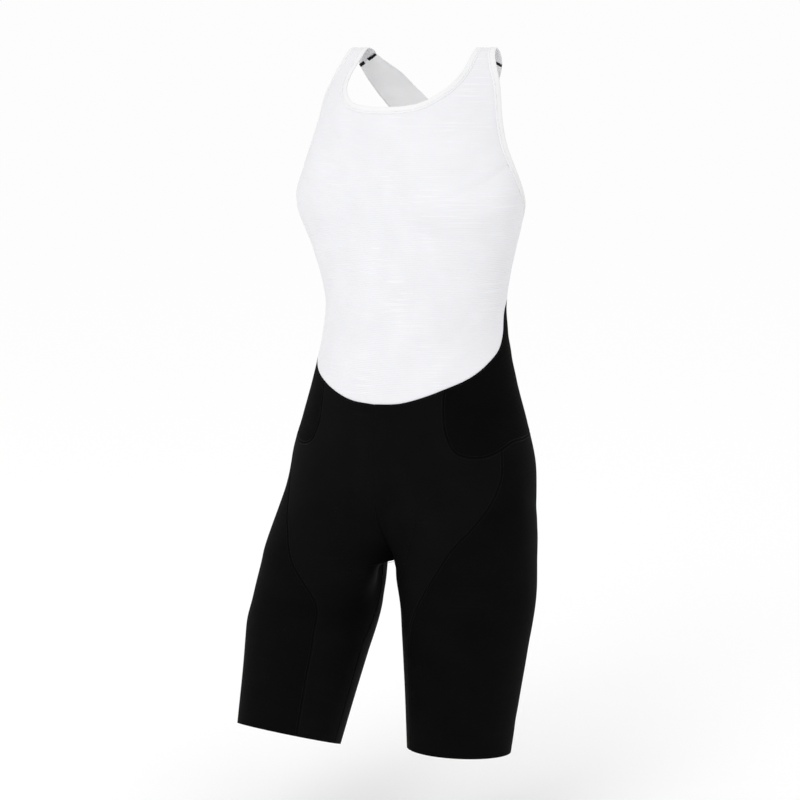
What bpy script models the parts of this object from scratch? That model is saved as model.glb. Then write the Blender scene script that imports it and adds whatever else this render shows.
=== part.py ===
"""Cycling bib shorts, filled out and hollow: a white mesh bib on black stretch shorts.

Metres, +Z up. The front faces -Y and the wearer's left is +X. The origin lies midway between
the two shoulder tops, where the garment hangs from the wearer.

Every piece is cut in pattern space and laid on one form. A pattern point is (turn, drop):
turn is the angle round the form in degrees, 0 at the centre front and 90 at the left side,
negative on the right, and drop is the distance below the shoulders in millimetres. Below the
fork the same angle runs round one leg, from the inner thigh over the front and the outside
back to the inner thigh.
"""

from math import ceil, cos, pi, radians, sin

import bmesh
import bpy
import numpy as np
from mathutils.geometry import delaunay_2d_cdt

# ---------------------------------------------------------------- sizes, in millimetres
MM = 0.001
CLOTH = 1.5                 # wall of the panels and straps
BINDING = 2.4               # wall of the folded bindings
BINDING_WIDTH = 9.0
SEAM_GAP = 0.3              # between two pieces sewn together
CELL = 18.0                 # spacing of the points inside a panel
EDGE = 13.0                 # spacing of the points along its edges
BOUND_EDGE = 8.0            # and along the bound edges
TURN_SCALE = 2.4            # millimetres of cloth for one degree of turn, on average
RIM_ORDER = np.array((0.37, 0.23, 1.0))  # the direction that orders the corners of a seam
SHARP_ANGLE = 50.0          # edges sharper than this stay crisp

FORK_TOP = 516.0            # drop where the two legs begin to part
CROTCH = 640.0              # drop of the lowest point between the legs
HEM = 871.0                 # drop of the hems, along the legs

# ---------------------------------------------------------------- form of the body
# A row for each section: height z, half width, y of the widest line, y at the centre front,
# y at the centre back, and the squareness of the front and back halves (2 is an ellipse).
BODY_COLUMNS = ("drop", "z", "half_width", "side_y", "front_y", "back_y", "front_n", "back_n")
BODY = (
    (-28.0, -24.0, 150.0, 116.0, -8.0, 130.0, 2.0, 2.0),
    (-14.0, -10.0, 150.0, 113.0, -12.0, 124.0, 2.0, 2.0),
    (-7.0, -2.8, 150.0, 107.0, -18.0, 117.0, 2.0, 2.0),
    (0.0, 0.0, 150.0, 99.0, -26.0, 110.0, 2.0, 2.0),
    (7.0, -2.8, 150.0, 91.0, -34.0, 105.0, 2.0, 2.0),
    (14.0, -10.0, 150.0, 82.0, -44.0, 100.0, 2.0, 2.0),
    (22.0, -19.0, 150.0, 74.0, -56.0, 96.0, 2.0, 2.0),
    (34.0, -33.0, 150.0, 63.0, -76.0, 92.0, 2.0, 2.0),
    (63.0, -63.0, 150.0, 48.0, -110.0, 88.0, 2.0, 2.0),
    (85.0, -85.0, 148.0, 30.0, -120.0, 85.0, 2.0, 2.0),
    (118.0, -118.0, 149.0, 2.0, -121.0, 82.0, 2.1, 2.0),
    (150.0, -150.0, 149.0, -26.0, -120.0, 78.0, 2.3, 2.0),
    (185.0, -185.0, 152.0, -46.0, -119.0, 74.0, 2.4, 2.0),
    (235.0, -235.0, 140.0, -40.0, -120.0, 70.0, 2.1, 2.0),
    (280.0, -280.0, 126.0, -31.0, -121.0, 66.0, 2.0, 2.0),
    (320.0, -320.0, 119.0, -25.0, -123.0, 63.0, 2.0, 2.0),
    (362.0, -362.0, 124.0, -25.0, -127.0, 66.0, 2.0, 2.0),
    (413.0, -413.0, 135.0, -29.0, -134.0, 72.0, 2.0, 2.0),
    (465.0, -465.0, 150.5, -33.0, -136.0, 83.0, 2.0, 2.0),
    (515.0, -515.0, 162.5, -40.0, -137.0, 90.0, 2.1, 2.1),
    (565.0, -565.0, 166.0, -46.0, -134.0, 88.0, 2.1, 2.1),
    (660.0, -660.0, 177.0, -55.0, -130.0, 80.0, 2.1, 2.1),
)
# The tops of the shoulders turn forward by this much for each millimetre outward.
SHOULDER_TURN = 0.5
SHOULDER_TURN_X = 75.0
SHOULDER_TURN_DROP = 45.0   # the turn is gone by this drop
CHEST_FULLNESS = 8.0        # how far the cut stands out over the chest
CHEST_TURN = 40.0
CHEST_DROP = 185.0
CHEST_SPREAD_TURN = 26.0
CHEST_SPREAD_DROP = 42.0

# ---------------------------------------------------------------- form of a leg
# A row for each section across a leg, from its centre line: half width toward the other leg
# and to the outside, depth to the front and to the back.
LEG_COLUMNS = ("drop", "inner", "outer", "front", "back")
LEG = (
    (516.0, 84.0, 80.0, 93.0, 106.0),
    (570.0, 84.0, 84.0, 90.0, 102.0),
    (626.0, 84.0, 86.0, 87.0, 94.0),
    (670.0, 82.0, 88.0, 86.0, 87.0),
    (730.0, 77.0, 82.0, 81.0, 79.0),
    (800.0, 71.0, 73.0, 73.0, 71.0),
    (871.0, 65.5, 65.0, 66.5, 64.0),
)
HIP_X = 90.0
HIP_Y = -45.0
HIP_DROP = 520.0
# How far each leg leans sideways and forward for each millimetre down: the pose is a short
# step, with the right leg in front.
LEG_LEAN = {1: (0.009, -0.11), -1: (0.059, -0.337)}
CROTCH_Y = -62.0
ARCH_WIDTH = {1: 11.0, -1: 29.0}  # of the flat arch between the legs, on each side
ARCH_DROP = 10.0
ARCH_RUN = 70.0             # away from the crotch the same width opens over this drop
ARCH_FRONT = (0.1, 0.6)     # sines of the angles round a leg between which it changes over
ARCH_BACK = (0.5, 1.0)
LEG_SQUARE_RUN = 110.0      # the leg's own sections take over in this distance below the crotch
FORK_POWER = 3.2            # how long the front stays full before it turns under
FORK_EDGE = 42.0            # turn, from the centre seams, that dips into the crotch

# ---------------------------------------------------------------- form of the upper back
# A row for each height: y at the centre back, and how fast the back curves away to the sides.
BACK_COLUMNS = ("drop", "centre_y", "curve")
BACK = (
    (10.0, 22.0, 0.0029),
    (33.0, 36.0, 0.0027),
    (48.0, 46.5, 0.0026),
    (62.0, 53.0, 0.0025),
    (105.0, 63.0, 0.0024),
    (147.0, 68.0, 0.0025),
    (206.0, 70.0, 0.0029),
    (258.0, 67.0, 0.0034),
    (300.0, 64.0, 0.0038),
)

# ---------------------------------------------------------------- seams, as (turn, drop) rows
WAIST_SEAM = ((0.0, 433.0), (19.0, 430.0), (36.0, 420.0), (46.0, 412.0), (62.0, 398.0),
              (75.0, 381.0), (84.0, 367.0), (90.0, 350.0), (97.0, 320.0), (106.0, 309.0),
              (118.0, 302.0), (123.0, 300.0))
WAIST_YOKE_ROW = 3          # where the yoke's front edge meets the waist seam
WAIST_BINDING_ROW = 10      # where the armhole binding's inner line meets it
YOKE_FRONT = ((46.0, 412.0), (45.5, 440.0), (47.5, 468.0), (53.0, 489.0), (62.0, 495.0),
              (69.0, 493.0), (75.0, 487.0))
YOKE_BACK = ((75.0, 487.0), (81.0, 480.0), (92.0, 478.0), (137.0, 476.0), (160.0, 476.0),
             (180.0, 477.0))
YOKE_SEAT_ROW = 3           # where the back seam meets the yoke
YOKE_TOP = ((123.0, 300.0), (127.0, 298.0), (150.0, 292.0), (180.0, 290.0))
YOKE_STRAP_ROWS = (1, 2)    # a strap is sewn on between these two rows
LEG_SEAM = ((75.0, 487.0), (74.0, 523.0), (71.0, 547.0), (61.0, 583.0), (53.0, 604.0),
            (44.0, 640.0), (36.5, 679.0), (30.5, 715.0), (28.0, 745.0), (27.0, 800.0),
            (25.5, 871.0))
BACK_SEAM = ((137.0, 476.0), (141.0, 540.0), (145.0, 620.0), (148.0, 700.0), (149.0, 871.0))
NECK_EDGE = ((0.0, 71.0), (9.0, 70.0), (17.0, 66.0), (24.0, 55.0), (30.5, 40.0),
             (33.5, 28.0), (35.0, 14.0), (35.0, 0.0), (33.5, -10.0))
ARMHOLE_EDGE = ((47.8, -26.0), (47.7, -14.0), (48.0, 0.0), (50.5, 18.0), (52.5, 34.0),
                (55.0, 63.0), (61.0, 88.0), (70.0, 118.0), (84.0, 150.0), (100.0, 184.0),
                (112.0, 204.0), (119.0, 235.0), (122.0, 270.0), (123.0, 300.0))
SHOULDER_BINDING = 0.26     # share of the shoulder seam that each binding takes

# ---------------------------------------------------------------- straps, as (x, drop) rows
# The strap from the left shoulder; the other is its mirror image. The upper edge starts at
# the neck and the lower edge at the armhole.
STRAP_UPPER = ((61.0, 18.0), (50.0, 29.0), (39.0, 47.0), (25.0, 64.0), (0.0, 100.0),
               (-36.0, 158.0), (-67.0, 215.0), (-84.0, 262.0))
STRAP_LOWER = ((96.0, 40.0), (91.0, 51.0), (79.0, 71.0), (39.0, 134.0), (0.0, 206.0),
               (-28.0, 252.0), (-42.0, 274.0))
STRAP_TRIM = {1: 6.0, -1: 0.0}   # the left strap's lower edge is cut in by this near its top
STRAP_TRIM_DROP = 70.0      # and less and less from here
STRAP_TRIM_FADE = 90.0
STRAP_ROWS = 26
STRAP_YOKE_STEP = 17.0      # spacing of the points across a strap, at the yoke
STRAP_CROSS_RISE = 2.4      # the left strap passes over the right one by this much
STRAP_CROSS_FLAT = 60.0     # all over the crossing, then down to the common back form
STRAP_CROSS_END = 100.0
STRAP_END_FADE = 0.16       # share of the strap that turns from the shoulder to the back form

SIDES = {"left": 1, "right": -1}

# ---------------------------------------------------------------- finishes
WHITE_MESH = ("white_mesh", (0.88, 0.88, 0.91), 0.75)
WHITE_BINDING = ("white_binding", (0.92, 0.92, 0.94), 0.7)
BLACK_STRETCH = ("black_stretch", (0.012, 0.012, 0.014), 0.6)
BLACK_SIDE = ("black_side", (0.010, 0.010, 0.012), 0.65)
BLACK_YOKE = ("black_yoke", (0.014, 0.014, 0.017), 0.65)


def hermite(at, value, place):
    """Read a smooth curve through the points (at, value) at a place between them."""
    step = np.diff(at)
    slope = np.diff(value) / step
    inside = (slope[:-1] * step[1:] + slope[1:] * step[:-1]) / (step[1:] + step[:-1])
    tangent = np.concatenate(([slope[0]], inside, [slope[-1]]))
    place = min(max(place, at[0]), at[-1])
    row = min(int(np.searchsorted(at, place, side="right")) - 1, len(step) - 1)
    t = (place - at[row]) / step[row]
    ends = (2 * t**3 - 3 * t**2 + 1) * value[row] + (3 * t**2 - 2 * t**3) * value[row + 1]
    bends = (t**3 - 2 * t**2 + t) * tangent[row] + (t**3 - t**2) * tangent[row + 1]
    return ends + step[row] * bends


def reader(table, columns):
    """Make a function that gives a table's columns at any drop."""
    at = np.array([row[0] for row in table])
    values = {name: np.array([row[k] for row in table]) for k, name in enumerate(columns) if k}
    known = {}

    def read(drop):
        key = round(drop, 6)
        if key not in known:
            known[key] = {name: float(hermite(at, value, drop)) for name, value in values.items()}
        return known[key]

    return read


read_body = reader(BODY, BODY_COLUMNS)
read_leg = reader(LEG, LEG_COLUMNS)
read_back = reader(BACK, BACK_COLUMNS)


def ease(t):
    """Run from 0 to 1 with a soft start and a soft end."""
    t = min(max(t, 0.0), 1.0)
    return t * t * (3.0 - 2.0 * t)


def body_point(turn, drop):
    """A point on the left half of the body's form, from the centre front to the centre back."""
    size = read_body(drop)
    angle = radians(turn)
    if turn <= 90.0:
        depth, power = size["side_y"] - size["front_y"], size["front_n"]
    else:
        depth, power = size["back_y"] - size["side_y"], size["back_n"]
    reach = ((abs(sin(angle)) / size["half_width"]) ** power
             + (abs(cos(angle)) / depth) ** power) ** (-1.0 / power)
    off_turn = (turn - CHEST_TURN) / CHEST_SPREAD_TURN
    off_drop = (drop - CHEST_DROP) / CHEST_SPREAD_DROP
    mirrored = (turn + CHEST_TURN) / CHEST_SPREAD_TURN
    lobes = np.exp(-off_turn**2) + np.exp(-mirrored**2)
    reach += CHEST_FULLNESS * lobes * np.exp(-off_drop**2)
    x = reach * sin(angle)
    turned = SHOULDER_TURN * (1.0 - ease(drop / SHOULDER_TURN_DROP)) * (x - SHOULDER_TURN_X)
    return np.array((x, size["side_y"] - reach * cos(angle) - turned, size["z"]))


def leg_point(side, turn, drop):
    """A point round a leg, as a left leg; below the crotch its sections turn square to it."""
    lean_x, lean_y = LEG_LEAN[side]
    below = max(drop - CROTCH, 0.0)
    height = drop - below + below / (1.0 + lean_x**2 + lean_y**2) ** 0.5
    centre_x = HIP_X + lean_x * (height - HIP_DROP)
    centre_y = HIP_Y + lean_y * (height - HIP_DROP)
    size = read_leg(drop)
    angle = radians(2.0 * turn)
    own = ease(below / LEG_SQUARE_RUN)
    beside = abs(sin(angle))
    reach_in = ARCH_FRONT if sin(angle) > 0.0 else ARCH_BACK
    local = 1.0 - ease((beside - reach_in[0]) / (reach_in[1] - reach_in[0]))
    quick = (1.0 - (1.0 - min(below / ARCH_DROP, 1.0)) ** 2) ** 0.5
    arch = ARCH_WIDTH[side] * (local * quick + (1.0 - local) * ease(below / ARCH_RUN))
    pole_y = (1.0 - own) * CROTCH_Y + own * centre_y
    inner = (1.0 - own) * (centre_x - arch) + own * size["inner"]
    wide = inner if cos(angle) > 0.0 else size["outer"]
    if sin(angle) > 0.0:
        deep = pole_y - centre_y + size["front"]
    else:
        deep = centre_y - pole_y + size["back"]
    reach = ((cos(angle) / wide) ** 2 + (sin(angle) / deep) ** 2) ** -0.5
    x = centre_x - reach * cos(angle)
    y = pole_y - reach * sin(angle)
    rise = own * (lean_x * (x - centre_x) + lean_y * (y - centre_y))
    return np.array((x, y, rise - height))


def half_point(side, turn, drop):
    """The form on one side of the garment; just past a centre line it goes on round."""
    if drop > CROTCH:
        turn = turn % 180.0 if not 0.0 <= turn <= 180.0 else turn
    elif turn < 0.0 or turn > 180.0:
        side = -side
        turn = -turn if turn < 0.0 else 360.0 - turn
        return half_point(side, turn, drop)
    if drop <= FORK_TOP:
        point = body_point(turn, drop)
    elif drop > CROTCH:
        point = leg_point(side, turn, drop)
    else:
        share = (drop - FORK_TOP) / (CROTCH - FORK_TOP)
        near = 1.0 - ease(min(turn, 180.0 - turn) / FORK_EDGE)
        if turn < 90.0:
            under, down = share**FORK_POWER, share
        else:
            under, down = 1.0 - cos(share * pi / 2.0), sin(share * pi / 2.0)
        blend = (1.0 - near) * ease(share) + near * under
        dip = (1.0 - near) * share + near * down
        height = FORK_TOP + (CROTCH - FORK_TOP) * dip
        body = body_point(turn, height)
        leg = leg_point(side, turn, height)
        point = body * (1.0 - blend) + leg * blend
    return point * np.array((side, 1.0, 1.0))


def form_point(turn, drop, side):
    """The outer surface of the garment at a pattern point; pieces on the centre use side 1."""
    turn = turn * side
    turn = turn + 360.0 if turn < -90.0 else turn
    return half_point(side, turn, drop)


def form_slopes(turn, drop, side):
    """How the surface runs for one degree of turn and one millimetre of drop."""
    small_turn, small_drop = 0.25, 0.5
    low = max(drop - small_drop, BODY[0][0])
    high = min(drop + small_drop, HEM)
    if low < CROTCH < high:
        low, high = (CROTCH, high) if drop > CROTCH else (low, CROTCH)
    by_turn = form_point(turn + small_turn, drop, side) - form_point(turn - small_turn, drop, side)
    by_drop = form_point(turn, high, side) - form_point(turn, low, side)
    return by_turn / (2.0 * small_turn), by_drop / (high - low)


def form_normal(turn, drop, side):
    """The direction straight out of the cloth."""
    by_turn, by_drop = form_slopes(turn, drop, side)
    out = np.cross(by_drop, by_turn)
    if drop <= CROTCH and turn % 180.0 == 0.0:
        out[0] = 0.0                        # the centre seams face straight forward or back
        out[1] = 0.0 if drop == CROTCH else out[1]
    length = np.linalg.norm(out)
    if length < 1e-6:
        return np.array((0.0, 0.0, -1.0))
    return out / length


def curve_through(rows, first=0, last=None, spacing=EDGE, side=1):
    """Pattern points along a smooth seam through its rows, evenly spaced on the form."""
    rows = np.array(rows, dtype=float)
    rows[:, 0] *= side
    last = len(rows) - 1 if last is None else last
    run = np.concatenate(([0.0], np.cumsum(np.hypot(np.diff(rows[:, 0]) * TURN_SCALE,
                                                   np.diff(rows[:, 1])))))
    places = np.linspace(run[first], run[last], 241)
    fine = [(hermite(run, rows[:, 0], p), hermite(run, rows[:, 1], p)) for p in places]
    solid = np.array([form_point(turn, drop, side) for turn, drop in fine])
    length = np.concatenate(([0.0], np.cumsum(np.linalg.norm(np.diff(solid, axis=0), axis=1))))
    count = max(ceil(length[-1] / spacing), 1)
    marks = np.interp(np.linspace(0.0, length[-1], count + 1), length, places)
    return [(float(hermite(run, rows[:, 0], p)), float(hermite(run, rows[:, 1], p)))
            for p in marks]


def join(*lines):
    """Join seams end to end into one line of pattern points, without the doubled ends."""
    joined = []
    for line in lines:
        joined += line if not joined else line[1:]
    return joined


def mirrored(line):
    """The same seam on the other side."""
    return [(-turn, drop) for turn, drop in line]


def inward_steps(line, side, closed):
    """For each point of a line, the step on the form to its left that clears both its edges."""
    solid = [form_point(turn, drop, side) for turn, drop in line]
    steps = []
    for k, (turn, drop) in enumerate(line):
        out = form_normal(turn, drop, side)
        ends = []
        if closed or k > 0:
            ends.append(solid[k] - solid[k - 1])
        if closed or k < len(line) - 1:
            ends.append(solid[(k + 1) % len(line)] - solid[k])
        left = [np.cross(out, along) for along in ends]
        left = [across / np.linalg.norm(across) for across in left]
        if len(left) == 2:
            steps.append((left[0] + left[1]) / max(1.0 + float(left[0] @ left[1]), 0.3))
        else:
            steps.append(left[0])
    return steps


def shift_line(line, distance, side):
    """Move an open line of pattern points across the cloth to its left by a true distance."""
    moved = []
    for (turn, drop), step in zip(line, inward_steps(line, side, closed=False)):
        slopes = np.column_stack(form_slopes(turn, drop, side))
        change = np.linalg.lstsq(slopes, step * distance, rcond=None)[0]
        moved.append((turn + float(change[0]), drop + float(change[1])))
    return moved


def flat(line):
    """Pattern points as flat cloth, in millimetres, seen from outside."""
    return np.array([(turn * TURN_SCALE, -drop) for turn, drop in line])


def inside_points(outline):
    """Rows of points inside a flat outline, clear of its edges."""
    low, high = outline.min(axis=0), outline.max(axis=0)
    after = np.roll(outline, -1, axis=0)
    edge = after - outline
    clear = 0.55 * CELL
    points = []
    across = np.arange(ceil(low[0] / CELL), high[0] / CELL) * CELL
    up = np.arange(ceil(low[1] / CELL), high[1] / CELL) * CELL
    for x in across:
        for y in up:
            here = np.array((x, y))
            crossing = (outline[:, 1] > y) != (after[:, 1] > y)
            rise = np.where(crossing, edge[:, 1], 1.0)
            meets = outline[:, 0] + (y - outline[:, 1]) / rise * edge[:, 0]
            if np.count_nonzero(crossing & (x < meets)) % 2 == 0:
                continue
            share = np.clip(((here - outline) * edge).sum(axis=1) / (edge**2).sum(axis=1), 0.0, 1.0)
            apart = np.linalg.norm(here - outline - share[:, None] * edge, axis=1)
            if apart.min() > clear:
                points.append((x, y))
    return points


def rim_faces(points, rim):
    """Close the rim between two skins; two pieces along one seam split its faces alike."""
    size = len(points) // 2
    faces = []
    for here, after in zip(rim, rim[1:] + rim[:1]):
        if float(points[here] @ RIM_ORDER) > float(points[after] @ RIM_ORDER):
            faces += [(after, here, here + size), (after, here + size, after + size)]
        else:
            faces += [(after, here, after + size), (here, here + size, after + size)]
    return faces


def add_object(name, points, faces, finish):
    """Make one closed piece from points in millimetres."""
    mesh = bpy.data.meshes.new(name)
    work = bmesh.new()
    corners = [work.verts.new(point * MM) for point in points]
    for face in faces:
        work.faces.new([corners[k] for k in face])
    if work.calc_volume(signed=True) < 0.0:
        bmesh.ops.reverse_faces(work, faces=work.faces)
    work.to_mesh(mesh)
    work.free()
    mesh.materials.append(material(*finish))
    mesh.shade_smooth()
    mesh.set_sharp_from_angle(angle=radians(SHARP_ANGLE))
    piece = bpy.data.objects.new(name, mesh)
    bpy.context.scene.collection.objects.link(piece)
    return piece


def material(name, colour, roughness):
    """Get or make a plain material."""
    known = bpy.data.materials.get(name)
    if known:
        return known
    made = bpy.data.materials.new(name)
    made.use_nodes = True
    shader = made.node_tree.nodes["Principled BSDF"]
    shader.inputs["Base Color"].default_value = (*colour, 1.0)
    shader.inputs["Roughness"].default_value = roughness
    shader.inputs["Metallic"].default_value = 0.0
    return made


def add_panel(name, outline, side, finish, wall=CLOTH, proud=0.0):
    """Cut a panel along its outline, lay it on the form and give it its thickness."""
    cloth = flat(outline)
    area = (cloth[:, 0] * np.roll(cloth[:, 1], -1) - np.roll(cloth[:, 0], -1) * cloth[:, 1]).sum()
    if area < 0.0:
        outline = outline[::-1]
        cloth = cloth[::-1]
    count = len(outline)
    inner = inside_points(cloth)
    flat_points = [tuple(point) for point in cloth] + inner
    made = delaunay_2d_cdt(flat_points, [], [list(range(count))], 1, 1e-4)
    triangles = [tuple(face) for face in made[2]]
    if len(made[0]) != len(flat_points):
        raise ValueError(f"{name}: its outline crosses itself")
    pattern = outline + [(x / TURN_SCALE, -y) for x, y in inner]
    steps = inward_steps(outline, side, closed=True)
    steps += [np.zeros(3)] * len(inner)
    top, bottom = [], []
    for (turn, drop), step in zip(pattern, steps):
        out = form_normal(turn, drop, side)
        place = form_point(turn, drop, side) + step * (SEAM_GAP / 2.0)
        top.append(place + out * proud)
        bottom.append(place + out * (proud - wall))
    size = len(pattern)
    faces = list(triangles)
    faces += [tuple(k + size for k in reversed(face)) for face in triangles]
    faces += rim_faces(top + bottom, list(range(count)))
    return add_object(name, top + bottom, faces, finish)


def strip_faces(points, rows, cells):
    """Faces of a closed strip whose points run row by row, the upper face first."""
    width = cells + 1
    size = rows * width
    faces = []
    for row in range(rows - 1):
        for k in range(cells):
            a = row * width + k
            b, c, d = a + 1, a + width + 1, a + width
            faces += [(a, b, c), (a, c, d)]
            faces += [(a + size, c + size, b + size), (a + size, d + size, c + size)]
    rim = [k for k in range(width)]
    rim += [row * width + cells for row in range(1, rows)]
    rim += [(rows - 1) * width + k for k in range(cells - 1, -1, -1)]
    rim += [row * width for row in range(rows - 2, 0, -1)]
    return faces + rim_faces(points, rim)


def add_binding(name, free_edge, inner_edge, side, finish):
    """A folded strip between a free edge and the panel's own edge, on its right."""
    lines = [free_edge, inner_edge]
    steps = [np.zeros((len(free_edge), 3)), inward_steps(inner_edge, side, closed=False)]
    proud = (BINDING - CLOTH) / 2.0
    top, bottom = [], []
    last = len(free_edge) - 1
    for k in range(len(free_edge)):
        for line, step in zip(lines, steps):
            turn, drop = line[k]
            out = form_normal(turn, drop, side)
            place = form_point(turn, drop, side) + step[k] * (SEAM_GAP / 2.0)
            if k in (0, last):
                beside = form_point(*line[1 if k == 0 else last - 1], side)
                along = beside - form_point(turn, drop, side)
                place = place + along / np.linalg.norm(along) * (SEAM_GAP / 2.0)
            top.append(place + out * proud)
            bottom.append(place + out * (proud - BINDING))
    points = top + bottom
    return add_object(name, points, strip_faces(points, len(free_edge), 1), finish)


def back_point(x, drop):
    """A point on the common form of the upper back, where the straps lie."""
    size = read_back(drop)
    return np.array((x, size["centre_y"] - size["curve"] * x * x, -drop))


def back_normal(x, drop):
    """Straight out of the upper back."""
    small = 1.0
    across = back_point(x + small, drop) - back_point(x - small, drop)
    down = back_point(x, drop + small) - back_point(x, drop - small)
    out = np.cross(across, down)
    return out / np.linalg.norm(out)


def shoulder_point(share):
    """A pattern point on the shoulder seam, from the neck to the armhole."""
    neck, armhole = np.array(NECK_EDGE[-1]), np.array(ARMHOLE_EDGE[0])
    turn, drop = neck + (armhole - neck) * share
    return float(turn), float(drop)


def add_strap(name, side, finish, over):
    """A strap from one shoulder, over the back and across to the other side of the yoke."""
    yoke_end = curve_through(YOKE_TOP, *YOKE_STRAP_ROWS, spacing=STRAP_YOKE_STEP, side=-1)
    shoulder = [shoulder_point(s) for s in (0.0, SHOULDER_BINDING, 1.0 - SHOULDER_BINDING, 1.0)]
    starts = [form_point(turn, drop, 1) for turn, drop in shoulder]
    ends = [form_point(turn, drop, -1) for turn, drop in yoke_end]
    trims = [1.0 - ease((drop - STRAP_TRIM_DROP) / STRAP_TRIM_FADE) for _, drop in STRAP_LOWER]
    lower_rows = [(x - STRAP_TRIM[side] * trim, drop)
                  for (x, drop), trim in zip(STRAP_LOWER, trims)]
    edges = []
    for start, rows, end in ((starts[0], STRAP_UPPER, ends[0]), (starts[-1], lower_rows, ends[-1])):
        rows = np.array([(start[0], -start[2]), *rows, (end[0], -end[2])])
        steps = np.hypot(np.diff(rows[:, 0]), np.diff(rows[:, 1]))
        run = np.concatenate(([0.0], np.cumsum(steps)))
        marks = np.linspace(0.0, run[-1], STRAP_ROWS)
        edges.append([(hermite(run, rows[:, 0], m), hermite(run, rows[:, 1], m)) for m in marks])
    upper, lower = edges
    cells = len(ends) - 1

    def lay(row, k):
        share = k / cells
        x = (1.0 - share) * upper[row][0] + share * lower[row][0]
        drop = (1.0 - share) * upper[row][1] + share * lower[row][1]
        return x, drop

    last = STRAP_ROWS - 1
    top, bottom = [], []
    for row in range(STRAP_ROWS):
        leave = 1.0 - ease(row / last / STRAP_END_FADE)
        arrive = 1.0 - ease((1.0 - row / last) / STRAP_END_FADE)
        for k in range(cells + 1):
            x, drop = lay(row, k)
            out = back_normal(x, drop)
            fall = (abs(x) - STRAP_CROSS_FLAT) / (STRAP_CROSS_END - STRAP_CROSS_FLAT)
            rise = over * STRAP_CROSS_RISE * (1.0 - ease(fall)) * (1.0 - leave)
            place = back_point(x, drop) + out * rise
            place = place + leave * (starts[k] - back_point(*lay(0, k)))
            place = place + arrive * (ends[k] - back_point(*lay(last, k)))
            shoulder_out = form_normal(*shoulder[k], 1)
            yoke_out = form_normal(*yoke_end[k], -1)
            out = out * (1.0 - leave - arrive) + shoulder_out * leave + yoke_out * arrive
            out = out / np.linalg.norm(out)
            if row in (0, last):
                beside = back_point(*lay(1 if row == 0 else last - 1, k))
                away = beside - place
                place = place + away / np.linalg.norm(away) * SEAM_GAP / 2.0
            top.append(place)
            bottom.append(place - out * CLOTH)
    mirror = np.array((side, 1.0, 1.0))
    points = [place * mirror for place in top + bottom]
    return add_object(name, points, strip_faces(points, STRAP_ROWS, cells), finish)


def split_waist(side):
    """The waist seam on one side: front panel, yoke, and the end of the armhole binding."""
    front = curve_through(WAIST_SEAM, 0, WAIST_YOKE_ROW, side=side)
    hip = curve_through(WAIST_SEAM, WAIST_YOKE_ROW, WAIST_BINDING_ROW, side=side)
    end = curve_through(WAIST_SEAM, WAIST_BINDING_ROW, len(WAIST_SEAM) - 1, side=side)
    return front, hip, end


def bound_edges():
    """The free edges of the left half of the bib and the lines where its bindings meet it."""
    neck = curve_through(NECK_EDGE, spacing=BOUND_EDGE)
    neck_line = shift_line(neck[::-1], BINDING_WIDTH, 1)[::-1]
    neck_line[0] = (0.0, neck_line[0][1])
    neck_line[-1] = shoulder_point(SHOULDER_BINDING)
    armhole = curve_through(ARMHOLE_EDGE, spacing=BOUND_EDGE)
    armhole_line = shift_line(armhole, -BINDING_WIDTH, 1)
    armhole_line[0] = shoulder_point(1.0 - SHOULDER_BINDING)
    armhole_line[-1] = WAIST_SEAM[WAIST_BINDING_ROW]
    return neck, neck_line, armhole, armhole_line


def add_bib():
    """The white front panel with its bindings and the crossed back straps."""
    neck, neck_line, armhole, armhole_line = bound_edges()
    front, hip, _ = split_waist(1)
    shoulder = [armhole_line[0], neck_line[-1]]
    left = join(front, hip, armhole_line[::-1], shoulder, neck_line[::-1])
    right = mirrored(left)
    add_panel("bib_front", join(left, right[::-1])[:-1], 1, WHITE_MESH)
    whole_neck = join(mirrored(neck)[::-1], neck)
    whole_line = join(mirrored(neck_line)[::-1], neck_line)
    add_binding("neck_binding", whole_neck, whole_line, 1, WHITE_BINDING)
    for name, side in SIDES.items():
        edge, line = armhole, armhole_line
        if side < 0:
            edge, line = mirrored(edge)[::-1], mirrored(line)[::-1]
        add_binding(f"armhole_binding_{name}", edge, line, side, WHITE_BINDING)
        add_strap(f"back_strap_{name}", side, WHITE_MESH, 1.0 if side > 0 else 0.0)


def shorts_seams(side):
    """Every seam of the shorts on one side, as pattern points shared by its two pieces."""
    front, hip, end = split_waist(side)
    return {
        "waist_front": front,
        "waist_hip": hip,
        "waist_end": end,
        "yoke_front": curve_through(YOKE_FRONT, side=side),
        "yoke_side": curve_through(YOKE_BACK, 0, YOKE_SEAT_ROW, side=side),
        "yoke_seat": curve_through(YOKE_BACK, YOKE_SEAT_ROW, side=side),
        "yoke_corner": curve_through(YOKE_TOP, 0, YOKE_STRAP_ROWS[0], side=side),
        "yoke_strap": curve_through(YOKE_TOP, *YOKE_STRAP_ROWS, spacing=STRAP_YOKE_STEP, side=side),
        "yoke_top": curve_through(YOKE_TOP, YOKE_STRAP_ROWS[1], side=side),
        "leg": curve_through(LEG_SEAM, side=side),
        "back": curve_through(BACK_SEAM, side=side),
        "centre_front": curve_through(((0.0, WAIST_SEAM[0][1]), (0.0, CROTCH)), side=side),
        "centre_back": curve_through(((180.0, YOKE_BACK[-1][1]), (180.0, CROTCH)), side=side),
        "inseam_front": curve_through(((0.0, CROTCH), (0.0, HEM)), side=side),
        "inseam_back": curve_through(((180.0, CROTCH), (180.0, HEM)), side=side),
        "hem_front": curve_through(((0.0, HEM), (LEG_SEAM[-1][0], HEM)), side=side),
        "hem_side": curve_through(((LEG_SEAM[-1][0], HEM), (BACK_SEAM[-1][0], HEM)), side=side),
        "hem_seat": curve_through(((BACK_SEAM[-1][0], HEM), (180.0, HEM)), side=side),
    }


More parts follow.
